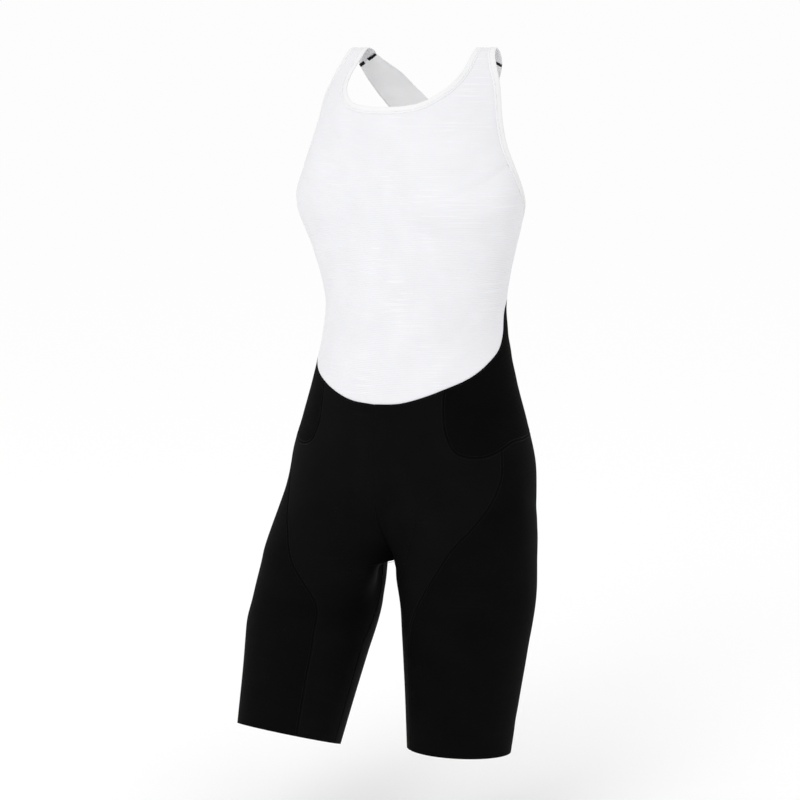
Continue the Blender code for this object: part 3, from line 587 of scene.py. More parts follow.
def shorts_seams(side):
    """Every seam of the shorts on one side, as pattern points shared by its two pieces."""
    last = len(WAIST_SEAM) - 1
    lines = {
        "waist_front": (WAIST_SEAM, 0, WAIST_YOKE_ROW),
        "waist_hip": (WAIST_SEAM, WAIST_YOKE_ROW, WAIST_BINDING_ROW),
        "waist_end": (WAIST_SEAM, WAIST_BINDING_ROW, last),
        "yoke_front": (YOKE_FRONT, 0, None),
        "yoke_side": (YOKE_BACK, 0, YOKE_SEAT_ROW),
        "yoke_seat": (YOKE_BACK, YOKE_SEAT_ROW, None),
        "yoke_top": (YOKE_TOP, 0, None),
        "leg": (LEG_SEAM, 0, None),
        "back": (BACK_SEAM, 0, None),
        "centre_front": (((0.0, WAIST_SEAM[0][1]), (0.0, CROTCH)), 0, None),
        "centre_back": (((180.0, YOKE_BACK[-1][1]), (180.0, CROTCH)), 0, None),
        "inseam_front": (((0.0, CROTCH), (0.0, HEM)), 0, None),
        "inseam_back": (((180.0, CROTCH), (180.0, HEM)), 0, None),
        "hem_front": (((0.0, HEM), (LEG_SEAM[-1][0], HEM)), 0, None),
        "hem_side": (((LEG_SEAM[-1][0], HEM), (BACK_SEAM[-1][0], HEM)), 0, None),
        "hem_seat": (((BACK_SEAM[-1][0], HEM), (180.0, HEM)), 0, None),
    }
    return {name: curve_through(rows, first, end, side=side)
            for name, (rows, first, end) in lines.items()}


# ---------------------------------------------------------------- cloth from a flat pattern
def flat_corners(line):
    """Pattern points as flat cloth in millimetres, seen from outside."""
    return np.array([(turn * TURN_SCALE, -drop) for turn, drop in line])


def clear_corners(line):
    """Drop the points so near a narrow corner that the rows inside it would cross."""
    spots = flat_corners(line)
    before, after = np.roll(spots, 1, axis=0) - spots, np.roll(spots, -1, axis=0) - spots
    turns = (before * after).sum(axis=1)
    turns /= np.linalg.norm(before, axis=1) * np.linalg.norm(after, axis=1)
    opening = np.arccos(np.clip(turns, -1.0, 1.0))
    kept = np.ones(len(line), dtype=bool)
    for k in np.flatnonzero(opening < radians(NARROW_CORNER)):
        clear = sum(EDGE_ROWS) / tan(opening[k] / 2.0) + CORNER_SPARE
        for way in (1, -1):
            beside = (k + way) % len(line)
            while (np.linalg.norm(spots[beside] - spots[k]) < clear
                   and opening[beside] > radians(SEAM_CORNER)):
                kept[beside] = False
                beside = (beside + way) % len(line)
    return [point for point, keep in zip(line, kept) if keep]


def cut_panel(outline, cell):
    """Cut a flat piece along its outline, with two narrow rows round it and an even grid."""
    bm = bmesh.new()
    corners = [bm.verts.new((x, y, 0.0)) for x, y in flat_corners(clear_corners(outline))]
    piece = bm.faces.new(corners)
    piece.normal_update()
    if piece.normal.z < 0.0:
        piece.normal_flip()
    for width in EDGE_ROWS:
        bmesh.ops.inset_region(bm, faces=[piece], thickness=width, use_even_offset=True,
                               use_boundary=True)
    for axis in (0, 1):
        spots = [v.co[axis] for v in bm.verts]
        across = Vector((1.0, 0.0, 0.0)) if axis == 0 else Vector((0.0, 1.0, 0.0))
        for k in range(ceil(min(spots) / cell), floor(max(spots) / cell) + 1):
            bmesh.ops.bisect_plane(bm, geom=bm.verts[:] + bm.edges[:] + bm.faces[:],
                                   dist=CUT_NEAR, plane_co=across * (k * cell), plane_no=across)
    bmesh.ops.remove_doubles(bm, verts=bm.verts, dist=CUT_MERGE)
    odd = [face for face in bm.faces if len(face.verts) > 4]
    bmesh.ops.triangulate(bm, faces=odd)
    return bm


def line_distance(points, line):
    """How far each flat point is from a seam, and how far along it, in millimetres."""
    corners = flat_corners(line)
    start, edge = corners[:-1], np.diff(corners, axis=0)
    length = np.maximum(np.linalg.norm(edge, axis=1), 1e-9)
    run = np.concatenate(([0.0], np.cumsum(length)))
    best = np.full(len(points), 1e9)
    place = np.zeros(len(points))
    for k in range(len(start)):
        share = np.clip((points - start[k]) @ edge[k] / length[k] ** 2, 0.0, 1.0)
        away = np.linalg.norm(points - start[k] - share[:, None] * edge[k], axis=1)
        closer = away < best
        best = np.where(closer, away, best)
        place = np.where(closer, run[k] + share * length[k], place)
    return best, place


def fold_height(points, rows):
    """The height of the folds at flat points: each is soft across and fades at its ends."""
    height = np.zeros(len(points))
    for turn_a, drop_a, turn_b, drop_b, width, rise in rows:
        start, end = flat_corners(((turn_a, drop_a), (turn_b, drop_b)))
        along = end - start
        length = np.linalg.norm(along)
        share = (points - start) @ along / length**2
        side = (points - start - share[:, None] * along) @ np.array((-along[1], along[0])) / length
        bow = FOLD_BOW * length * (share - 0.5) ** 2
        fade = ease(0.5 + FOLD_FADE * (0.5 - np.abs(share - 0.5)))
        height += rise * fade * np.exp(-((side - bow) / width) ** 2)
    return height


def lay_panel(bm, name, side, seams, bound=(), folds=(), extra=None, butted=()):
    """Lay a flat piece on the form, with its folds and with its edges rolled into the seams."""
    flat = np.array([v.co[:2] for v in bm.verts])
    turn, drop = flat[:, 0] / TURN_SCALE, -flat[:, 1]
    height = fold_height(flat * np.array((side, 1.0)), folds)
    for line in seams:
        away = line_distance(flat, line)[0]
        height += SEAM_SWELL * np.exp(-((away - SEAM_SWELL_AT) / SEAM_SWELL_WIDTH) ** 2)
        height -= SEAM_ROLL * np.exp(-(away / SEAM_ROLL_WIDTH) ** 2)
    for line in butted:
        away = line_distance(flat, line)[0]
        height -= BUTTED_ROLL * np.exp(-(away / SEAM_ROLL_WIDTH) ** 2)
    for line in bound:
        away = line_distance(flat, line)[0]
        height -= BOUND_TUCK * np.exp(-(away / BOUND_TUCK_WIDTH) ** 2)
    if extra:
        height += extra(flat * np.array((side, 1.0)))
    place = form_points(turn, drop, side) + form_frames(turn, drop, side)[2] * height[:, None]
    cloth = bm.loops.layers.uv.new(PATTERN_UV)
    for face in bm.faces:
        for loop in face.loops:
            loop[cloth].uv = loop.vert.co.xy * MM
    for vert, spot in zip(bm.verts, place):
        vert.co = spot * MM
    return finish_mesh(bm, name)


def finish_mesh(bm, name):
    """Turn a bmesh into an object of the scene."""
    mesh = bpy.data.meshes.new(name)
    bm.to_mesh(mesh)
    bm.free()
    mesh.shade_smooth()
    made = bpy.data.objects.new(name, mesh)
    bpy.context.scene.collection.objects.link(made)
    return made


def dress(made, surface, node, wall):
    """Give a piece its wall, its cloth and its place in the model."""
    if wall:
        thick = made.modifiers.new("Cloth thickness", "SOLIDIFY")
        thick.thickness = wall
        thick.offset = -1.0
        thick.use_even_offset = False
    made.data.materials.append(surface)
    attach(made, BODY_NAME)
    if node:
        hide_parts(node)


# ---------------------------------------------------------------- bindings and straps
def sweep(name, points, pattern, closed):
    """A band made from a grid of points and of their places on the flat cloth."""
    rows, ring = points.shape[:2]
    bm = bmesh.new()
    bmesh.ops.create_grid(bm, x_segments=rows - 1, y_segments=ring - 1, size=0.5, calc_uvs=True)
    cloth = bm.loops.layers.uv.verify()
    spots = np.array([v.co[:2] for v in bm.verts]) + 0.5
    row = np.rint(spots[:, 0] * (rows - 1)).astype(int)
    step = np.rint(spots[:, 1] * (ring - 1)).astype(int)
    for vert, i, j in zip(bm.verts, row, step):
        vert.co = points[i, j] * MM
    bm.verts.index_update()
    for face in bm.faces:
        for loop in face.loops:
            k = loop.vert.index
            loop[cloth].uv = pattern[row[k], step[k]] * MM
    if closed:
        bmesh.ops.remove_doubles(bm, verts=bm.verts, dist=TINY)
        bmesh.ops.holes_fill(bm, edges=[edge for edge in bm.edges if edge.is_boundary], sides=0)
        bmesh.ops.recalc_face_normals(bm, faces=bm.faces)
    made = finish_mesh(bm, name)
    made.data.uv_layers[0].name = PATTERN_UV
    return made


def add_binding(name, edge, line, side):
    """A folded strip round a free edge: rounded at the fold, pinched along its stitches."""
    profile = np.array(BINDING_PROFILE)
    edge, line = np.array(edge), np.array(line)
    outer = form_points(edge[:, 0], edge[:, 1], side)
    inner = form_points(line[:, 0], line[:, 1], side)
    normal = form_frames(edge[:, 0], edge[:, 1], side)[2]
    normal_in = form_frames(line[:, 0], line[:, 1], side)[2]
    count = np.arange(len(edge))
    size, pace = BINDING_RIPPLE_DRIFT
    ripple = BINDING_RIPPLE * np.sin(count * BINDING_RIPPLE_STEP + size * np.sin(count * pace))
    share, height = profile[:, 0], profile[:, 1]
    near = share[None, :, None]
    across = inner[:, None] * (1.0 - near) + outer[:, None] * near
    out = normal_in[:, None] * (1.0 - near) + normal[:, None] * near
    lift = height[None, :] + ripple[:, None] * (height[None, :] > 0.0)
    run = run_along(outer)
    pattern = np.broadcast_arrays(run[:, None], share[None, :] * BINDING_WIDTH)
    return sweep(name, across + out * lift[..., None], np.stack(pattern, axis=-1), closed=True)


def back_points(x, drop):
    """Points on the common form of the upper back."""
    size = read_back(drop)
    return np.stack((x, size["centre_y"] - size["curve"] * x * x, -drop), axis=-1)


def back_normals(x, drop):
    """Straight out of the upper back."""
    across = back_points(x + 1.0, drop) - back_points(x - 1.0, drop)
    down = back_points(x, drop + 1.0) - back_points(x, drop - 1.0)
    out = np.cross(across, down)
    return out / np.linalg.norm(out, axis=-1, keepdims=True)


def strap_frame(side, steps):
    """A strap's points, normals and flat places, row by row from the shoulder to the yoke."""
    shares = np.linspace(0.0, 1.0, steps + 1)
    seam = np.array([shoulder_point(share) for share in shares])
    starts = form_points(seam[:, 0], seam[:, 1], 1)
    start_out = form_frames(seam[:, 0], seam[:, 1], 1)[2]
    first, last = YOKE_STRAP_ROWS
    fine = np.array(curve_through(YOKE_TOP, first, last, spacing=1.0, side=-1))
    marks = np.linspace(0.0, len(fine) - 1.0, steps + 1)
    yoke = np.stack([np.interp(marks, np.arange(len(fine)), fine[:, k]) for k in (0, 1)], axis=-1)
    ends = form_points(yoke[:, 0], yoke[:, 1], -1)
    end_out = form_frames(yoke[:, 0], yoke[:, 1], -1)[2]
    trims = [1.0 - ease((drop - STRAP_TRIM_DROP) / STRAP_TRIM_FADE) for _, drop in STRAP_LOWER]
    lower = [(x - STRAP_TRIM[side] * trim, drop) for (x, drop), trim in zip(STRAP_LOWER, trims)]
    edges = []
    for start, table, end in ((starts[0], STRAP_UPPER, ends[0]), (starts[-1], lower, ends[-1])):
        line = np.array([(start[0], -start[2]), *table, (end[0], -end[2])])
        run = np.concatenate(([0.0], np.cumsum(np.hypot(*np.diff(line, axis=0).T))))
        marks = np.linspace(0.0, run[-1], STRAP_ROWS_FINE)
        edges.append(np.stack([hermite(run, line[:, k], marks) for k in (0, 1)], axis=-1))
    near = shares[None, :, None]
    flat = edges[0][:, None] * (1.0 - near) + edges[1][:, None] * near
    x, drop = flat[..., 0], flat[..., 1]
    part = np.linspace(0.0, 1.0, STRAP_ROWS_FINE)[:, None]
    leave = 1.0 - ease(part / STRAP_END_FADE)
    arrive = 1.0 - ease((1.0 - part) / STRAP_END_FADE)
    out = back_normals(x, drop)
    fall = (np.abs(x) - STRAP_CROSS_FLAT) / (STRAP_CROSS_END - STRAP_CROSS_FLAT)
    rise = STRAP_CROSS_RISE[side] * (1.0 - ease(fall)) * (1.0 - leave)
    laid = back_points(x, drop)
    place = laid + out * rise[..., None]
    place = place + leave[..., None] * (starts - laid[0])[None]
    place = place + arrive[..., None] * (ends - laid[-1])[None]
    out = out * (1.0 - leave - arrive)[..., None] + start_out[None] * leave[..., None]
    out = out + end_out[None] * arrive[..., None]
    out = out / np.linalg.norm(out, axis=-1, keepdims=True)
    mirror = np.array((side, 1.0, 1.0))
    return place * mirror, out * mirror, flat


def add_strap(name, side):
    """A strap with a thicker folded edge down each side."""
    place, out, flat = strap_frame(side, STRAP_STEPS)
    shares = np.linspace(0.0, 1.0, STRAP_STEPS + 1)
    edge = np.minimum(shares, 1.0 - shares) * STRAP_STEPS
    hem = STRAP_HEM_RISE * np.exp(-((edge - STRAP_HEM_AT) / STRAP_HEM_WIDTH) ** 2)
    lift = hem - STRAP_HEM_RISE * np.exp(-edge**2)
    angle = np.linspace(0.0, STRAP_WAVE_ANGLE, STRAP_ROWS_FINE)
    wave = STRAP_WAVE * np.sin(angle)[:, None] * np.sin(shares * pi)[None]
    made = sweep(name, place + out * (lift[None, :] + wave)[..., None], flat, closed=False)
    mesh = made.data
    if mesh.polygons[len(mesh.polygons) // 2].normal.y < 0.0:
        mesh.flip_normals()
    return made


# ---------------------------------------------------------------- thread
def add_bar(bm, ends, radius, sides, lift):
    """One straight thread between two points, moved by a vector."""
    along = Vector(ends[1] - ends[0])
    turn = along.to_track_quat("Z", "Y").to_matrix().to_4x4()
    centre = Vector((ends[0] + ends[1]) / 2.0) + lift
    bmesh.ops.create_cone(
        bm, segments=sides, cap_ends=True, radius1=radius * MM, radius2=radius * MM,
        depth=along.length * MM, matrix=Matrix.Translation(centre * MM) @ turn)


def add_stitches(bm, points, normals, length, radius, shown):
    """Lay short stitches along a line on the cloth; shown is the share of each that shows."""
    run = run_along(points)
    first, last = STITCH_ENDS
    for place in np.arange(length * first, run[-1] - length * last, length):
        ends = [np.array([np.interp(place + half, run, points[:, k]) for k in range(3)])
                for half in (-0.5 * shown * length, 0.5 * shown * length)]
        out = Vector([np.interp(place, run, normals[:, k]) for k in range(3)]).normalized()
        if Vector(ends[1] - ends[0]).length >= TINY:
            add_bar(bm, ends, radius, STITCH_SIDES, out * radius * STITCH_LIFT)


def seam_row(line, side, offset, lift=0.0):
    """Points and normals of a row of stitches beside a seam."""
    if offset:
        line = shift_line(line, offset, side)
    turn, drop = np.array(line).T
    out = form_frames(turn, drop, side)[2]
    return form_points(turn, drop, side) + out * lift, out


def add_threads(name, rows, colour, length, radius, shown=STITCH_SHOWN):
    """One piece that holds all the stitches of one thread."""
    bm = bmesh.new()
    for points, normals in rows:
        add_stitches(bm, points, normals, length, radius, shown)
    dress(finish_mesh(bm, name), thread_material(colour), None, 0.0)


# ---------------------------------------------------------------- materials
def new_material(name, colour, roughness, gloss):
    """A material whose shader holds the values that are the same all over it."""
    made = bpy.data.materials.new(name)
    made.use_nodes = True
    shader = made.node_tree.nodes["Principled BSDF"]
    shader.inputs["Base Color"].default_value = (*colour, 1.0)
    shader.inputs["Roughness"].default_value = roughness
    shader.inputs["Metallic"].default_value = 0.0
    shader.inputs["Specular IOR Level"].default_value = gloss
    return made, made.node_tree, shader


def noise(tree, place, scale, detail):
    """Soft noise at places of the cloth."""
    node = tree.nodes.new("ShaderNodeTexNoise")
    node.inputs["Scale"].default_value = scale
    node.inputs["Detail"].default_value = detail
    tree.links.new(place, node.inputs["Vector"])
    return node.outputs[0]


def spread_out(tree, value, given, wanted=(0.0, 1.0)):
    """Turn the values between two limits into values between two others."""
    node = tree.nodes.new("ShaderNodeMapRange")
    for way, limits in (("From", given), ("To", wanted)):
        for end, limit in zip(("Min", "Max"), limits):
            node.inputs[f"{way} {end}"].default_value = limit
    tree.links.new(value, node.inputs["Value"])
    return node.outputs[0]


def add_relief(tree, shader, height, strength, distance):
    """Give a surface the relief of a height."""
    node = tree.nodes.new("ShaderNodeBump")
    node.inputs["Strength"].default_value = strength
    node.inputs["Distance"].default_value = distance
    tree.links.new(height, node.inputs["Height"])
    tree.links.new(node.outputs[0], shader.inputs["Normal"])


def knit_group():
    """A node group that makes the fine loops of a knit, its runs and its uneven tone."""
    known = bpy.data.node_groups.get("Knit")
    if known:
        return known
    group = bpy.data.node_groups.new("Knit", "ShaderNodeTree")
    sockets = (
        ("Pattern", "INPUT", "NodeSocketVector", None),
        ("Wale pitch", "INPUT", "NodeSocketFloat", 0.0011),
        ("Rib pitch", "INPUT", "NodeSocketFloat", 0.0022),
        ("Run length", "INPUT", "NodeSocketFloat", 0.055),
        ("Run amount", "INPUT", "NodeSocketFloat", 0.2),
        ("Height", "OUTPUT", "NodeSocketFloat", None),
        ("Runs", "OUTPUT", "NodeSocketFloat", None),
        ("Tone", "OUTPUT", "NodeSocketFloat", None),
    )
    for name, way, kind, value in sockets:
        socket = group.interface.new_socket(name=name, in_out=way, socket_type=kind)
        if value is not None:
            socket.default_value = value
    nodes, links = group.nodes, group.links
    enter = nodes.new("NodeGroupInput")
    leave = nodes.new("NodeGroupOutput")
    split = nodes.new("ShaderNodeSeparateXYZ")
    links.new(enter.outputs["Pattern"], split.inputs[0])

    def maths(operation, first, second=None):
        node = nodes.new("ShaderNodeMath")
        node.operation = operation
        for socket, value in zip(node.inputs, (first, second)):
            if value is None:
                continue
            if isinstance(value, float):
                socket.default_value = value
            else:
                links.new(value, socket)
        return node.outputs[0]

    def wave(coordinate, pitch):
        turns = maths("DIVIDE", coordinate, pitch)
        return maths("SINE", maths("MULTIPLY", turns, 2.0 * pi))

    across, along = split.outputs["X"], split.outputs["Y"]
    wales = wave(across, enter.outputs["Wale pitch"])
    ribs = wave(along, enter.outputs["Rib pitch"])
    run_across = maths("DIVIDE", across, enter.outputs["Run length"])
    run_width = maths("MULTIPLY", enter.outputs["Rib pitch"], RUN_WIDTH)
    place = nodes.new("ShaderNodeCombineXYZ")
    links.new(run_across, place.inputs["X"])
    links.new(maths("DIVIDE", along, run_width), place.inputs["Y"])
    streak = spread_out(group, noise(group, place.outputs[0], 1.0, 1.0), RUN_EDGE)
    patch = noise(group, enter.outputs["Pattern"], RUN_PATCH_SCALE, 1.0)
    spread = maths("MULTIPLY", streak, spread_out(group, patch, RUN_PATCH_EDGE))
    runs = maths("MULTIPLY", spread, enter.outputs["Run amount"])
    loops = maths("ADD", maths("MULTIPLY", wales, WALE_SHARE), maths("MULTIPLY", ribs, RIB_SHARE))
    links.new(maths("ADD", loops, maths("MULTIPLY", runs, RUN_SHARE)), leave.inputs["Height"])
    links.new(runs, leave.inputs["Runs"])
    cloud = noise(group, enter.outputs["Pattern"], TONE_SCALE, TONE_DETAIL)
    links.new(cloud, leave.inputs["Tone"])
    return group


def cloth_material(name, colour, roughness, gloss, wale, rib, run_amount, spread, bump):
    """A knit: fine loops in its bump, light runs and an uneven tone in its colour."""
    known = bpy.data.materials.get(name)
    if known:
        return known
    made, tree, shader = new_material(name, colour, roughness, gloss)
    nodes, links = tree.nodes, tree.links
    pattern = nodes.new("ShaderNodeUVMap")
    pattern.uv_map = PATTERN_UV
    knit = nodes.new("ShaderNodeGroup")
    knit.node_tree = knit_group()
    knit.inputs["Wale pitch"].default_value = wale
    knit.inputs["Rib pitch"].default_value = rib
    knit.inputs["Run amount"].default_value = run_amount
    links.new(pattern.outputs[0], knit.inputs["Pattern"])
    tone = spread_out(tree, knit.outputs["Tone"], TONE_EDGE, (1.0 - spread, 1.0 + spread))
    lift = nodes.new("ShaderNodeMath")
    lift.operation = "ADD"
    links.new(tone, lift.inputs[0])
    links.new(knit.outputs["Runs"], lift.inputs[1])
    shade = nodes.new("ShaderNodeVectorMath")
    shade.operation = "SCALE"
    shade.inputs[0].default_value = colour
    links.new(lift.outputs[0], shade.inputs["Scale"])
    links.new(shade.outputs[0], shader.inputs["Base Color"])
    add_relief(tree, shader, knit.outputs["Height"], bump, KNIT_RELIEF)
    return made


def finish_for(part):
    """The material of one of the garment's cloths, from the values of cloth_material."""
    colours = bpy.context.scene.bib_shorts_colours
    finishes = {
        "mesh": ("Ribbed mesh", colours.mesh, 0.8, 0.2, 0.0012, 0.0022, 0.055, 0.02, 0.25),
        # The straps are the bib's own mesh with a neutral tone, but their colour is lightened far
        # past the bib's to stand in for the light they miss behind the neck: painted light.
        "strap": ("Strap mesh with painted light", colours.strap, 0.8, 0.2, 0.0012, 0.0022, 0.0, 0.01, 0.15),
        "binding": ("Edge binding", colours.binding, 0.75, 0.25, 0.0010, 0.0020, 0.0, 0.015, 0.3),
        "stretch": ("Stretch knit", colours.stretch, 0.75, 0.03, 0.0009, 0.0012, 0.3, 0.15, 0.25),
        "side": ("Side knit", colours.side, 0.8, 0.025, 0.0010, 0.0014, 0.3, 0.15, 0.3),
        "yoke": ("Yoke knit", colours.yoke, 0.8, 0.02, 0.0014, 0.0018, 0.2, 0.12, 0.35),
    }
    return cloth_material(*finishes[part])


def thread_material(part):
    """Twisted sewing thread, black or white."""
    name = f"{part.capitalize()} thread"
    known = bpy.data.materials.get(name)
    if known:
        return known
    colour = getattr(bpy.context.scene.bib_shorts_colours, f"{part}_thread")
    made, tree, shader = new_material(name, colour, THREAD_ROUGHNESS, THREAD_GLOSS)
    place = tree.nodes.new("ShaderNodeTexCoord")
    twist = noise(tree, place.outputs["Object"], TWIST_SCALE, 2.0)
    add_relief(tree, shader, twist, TWIST_BUMP, TWIST_RELIEF)
    shade = spread_out(tree, twist, (0.0, 1.0), TWIST_ROUGHNESS)
    tree.links.new(shade, shader.inputs["Roughness"])
    return made


# ---------------------------------------------------------------- settings
def length_setting(name, text, default):
    """A length in metres that a user can change."""
    return FloatProperty(name=name, description=text, default=default, min=0.0, unit="LENGTH",
                         precision=5)


def colour_setting(name, text, default):
    """A colour that a user can change."""
    return FloatVectorProperty(name=name, description=text, default=default, size=3, min=0.0,
                               max=1.0, subtype="COLOR")


class BibShortsSizes(bpy.types.PropertyGroup):
    """Sizes of the cloth and its stitches."""

    wall: length_setting("Cloth", "Thickness of the cloth", 0.0009)
    cell: length_setting("Cell", "Spacing of the points across a piece", 0.0038)
    stitch: length_setting("Stitch", "Length of one stitch", 0.0030)
    thread: length_setting("Thread", "Radius of the sewing thread", 0.00024)


class BibShortsColours(bpy.types.PropertyGroup):
    """Colours of the cloths and threads."""

    mesh: colour_setting("Mesh", "White mesh of the bib", (0.76, 0.76, 0.785))
    # A neutral, less blue white for the straps' reverse face, raised well above the bib's mesh to
    # make up for the shade the straps lie in: partly their own tone, partly painted light.
    strap: colour_setting("Strap mesh with painted light", "White mesh of the back straps", (0.95, 0.95, 0.95))
    binding: colour_setting("Binding", "White binding of the neck and armholes", (0.80, 0.80, 0.81))
    stretch: colour_setting("Stretch knit", "Black front and seat panels", (0.0028, 0.0028, 0.0028))
    side: colour_setting("Side knit", "Black side panels", (0.0024, 0.0024, 0.0024))
    yoke: colour_setting("Yoke knit", "Black back yoke", (0.0022, 0.0022, 0.0022))
    white_thread: colour_setting("White thread", "Thread in the bib", (0.82, 0.82, 0.83))
    black_thread: colour_setting("Black thread", "Thread in the shorts", (0.0022, 0.0022, 0.0026))


# ---------------------------------------------------------------- operators
class PieceOperator:
    """What all the operators that make a piece share."""

    bl_options = {"REGISTER", "UNDO"}

    def execute(self, context):
        self.make(context.scene.bib_shorts_sizes)
        return {"FINISHED"}


class BIBSHORTS_OT_bib_front(PieceOperator, bpy.types.Operator):
    """Make the white mesh front of the bib"""

    bl_idname = "bibshorts.bib_front"
    bl_label = "Bib front"

    def make(self, sizes):
        _, neck_line, _, armhole_line = bound_edges()
        seam = shorts_seams(1)
        waist = join(seam["waist_front"], seam["waist_hip"])
        shoulder = [armhole_line[0], neck_line[-1]]
        left = join(waist, armhole_line[::-1], shoulder, neck_line[::-1])
        outline = join(left, mirrored(left)[::-1])[:-1]
        whole_waist = join(mirrored(waist)[::-1], waist)
        bm = cut_panel(outline, sizes.cell / MM)
        bound = [join(mirrored(neck_line)[::-1], neck_line), armhole_line, mirrored(armhole_line)]
        made = lay_panel(bm, "bib_front_cloth", 1, [whole_waist], bound, BIB_FOLDS)
        dress(made, finish_for("mesh"), "bib_front", sizes.wall)


class BIBSHORTS_OT_bindings(PieceOperator, bpy.types.Operator):
    """Make the folded bindings of the neck and armholes"""

    bl_idname = "bibshorts.bindings"
    bl_label = "Bindings"

    def make(self, sizes):
        neck, neck_line, armhole, armhole_line = bound_edges()
        surface = finish_for("binding")
        whole_neck = join(mirrored(neck)[::-1], neck)
        whole_line = join(mirrored(neck_line)[::-1], neck_line)
        made = add_binding("neck_binding_cloth", whole_neck, whole_line, 1)
        dress(made, surface, "neck_binding", 0.0)
        for name, side in SIDES.items():
            edge, line = armhole, armhole_line
            if side < 0:
                edge, line = mirrored(edge), mirrored(line)
            made = add_binding(f"armhole_binding_{name}_cloth", edge, line, side)
            dress(made, surface, f"armhole_binding_{name}", 0.0)


class BIBSHORTS_OT_back_straps(PieceOperator, bpy.types.Operator):
    """Make the two crossed straps of the back"""

    bl_idname = "bibshorts.back_straps"
    bl_label = "Back straps"

    def make(self, sizes):
        for name, side in SIDES.items():
            made = add_strap(f"back_strap_{name}_cloth", side)
            dress(made, finish_for("strap"), f"back_strap_{name}", sizes.wall)


class BIBSHORTS_OT_back_yoke(PieceOperator, bpy.types.Operator):
    """Make the black yoke that goes round the back of the waist"""

    bl_idname = "bibshorts.back_yoke"
    bl_label = "Back yoke"

    def make(self, sizes):
        uppers, lowers, hips = [], [], []
        for side in (1, -1):
            seam = shorts_seams(side)
            shift = 0.0 if side > 0 else 360.0
            upper = join(seam["waist_hip"], seam["waist_end"], seam["yoke_top"])
            lower = join(seam["yoke_front"], seam["yoke_side"], seam["yoke_seat"])
            uppers.append([(turn + shift, drop) for turn, drop in upper])
            lowers.append([(turn + shift, drop) for turn, drop in lower])
            hips.append([(turn + shift, drop) for turn, drop in seam["waist_hip"]])
        outline = join(uppers[0], uppers[1][::-1], lowers[1], lowers[0][::-1])[:-1]
        bm = cut_panel(outline, sizes.cell / MM)
        folds = [row if row[0] > 0.0 else
                 (row[0] + 360.0, row[1], row[2] + 360.0, *row[3:]) for row in YOKE_FOLDS]
        made = lay_panel(bm, "back_yoke_cloth", 1, hips + lowers, [], folds)
        dress(made, finish_for("yoke"), "back_yoke", sizes.wall)


def pad_shape(flat):
    """The stitches of the seat pad draw a groove in the cloth, with small puckers across it."""
    height = np.zeros(len(flat))
    size, length = PUCKER_DRIFT
    for rows in (PAD_STITCH, PAD_STITCH_BACK):
        line = curve_through(rows, spacing=2.0)
        away, place = line_distance(flat, line)
        angle = 2.0 * pi * place / PUCKER_PITCH + size * np.sin(place / length)
        height += PUCKER_DEPTH * np.cos(angle) * np.exp(-(away / PUCKER_REACH) ** 2)
        height -= PAD_GROOVE * np.exp(-(away / PAD_GROOVE_WIDTH) ** 2)
    return height


def add_leg_panels(sizes, piece, cloth, cut, extra=None):
    """One panel of each leg; cut gives its outline, its seams and those sewn edge to edge."""
    for name, side in SIDES.items():
        outline, seams, butted = cut(shorts_seams(side))
        bm = cut_panel(outline[:-1], sizes.cell / MM)
        made = lay_panel(bm, f"{piece}_{name}_cloth", side, seams, [], LEG_FOLDS, extra, butted)
        dress(made, finish_for(cloth), f"{piece}_{name}", sizes.wall)


class BIBSHORTS_OT_front_panels(PieceOperator, bpy.types.Operator):
    """Make the black front panel of each leg"""

    bl_idname = "bibshorts.front_panels"
    bl_label = "Front panels"

    def make(self, sizes):
        def cut(seam):
            inner = join(seam["centre_front"], seam["inseam_front"])
            outline = join(inner, seam["hem_front"], seam["leg"][::-1], seam["yoke_front"][::-1],
                           seam["waist_front"][::-1])
            return outline, [seam["leg"], seam["yoke_front"], seam["waist_front"]], [inner]

        add_leg_panels(sizes, "front_panel", "stretch", cut, pad_shape)


class BIBSHORTS_OT_side_panels(PieceOperator, bpy.types.Operator):
    """Make the black side panel of each leg"""

    bl_idname = "bibshorts.side_panels"
    bl_label = "Side panels"

    def make(self, sizes):
        def cut(seam):
            outline = join(seam["leg"], seam["hem_side"], seam["back"][::-1],
                           seam["yoke_side"][::-1])
            return outline, [seam["leg"], seam["back"], seam["yoke_side"]], []

        add_leg_panels(sizes, "side_panel", "side", cut)


class BIBSHORTS_OT_seat_panels(PieceOperator, bpy.types.Operator):
    """Make the black seat panel of each leg"""

    bl_idname = "bibshorts.seat_panels"
    bl_label = "Seat panels"

    def make(self, sizes):
        def cut(seam):
            inner = join(seam["centre_back"], seam["inseam_back"])
            outline = join(seam["back"], seam["hem_seat"], inner[::-1], seam["yoke_seat"][::-1])
            return outline, [seam["back"], inner, seam["yoke_seat"]], []

        add_leg_panels(sizes, "seat_panel", "stretch", cut, pad_shape)


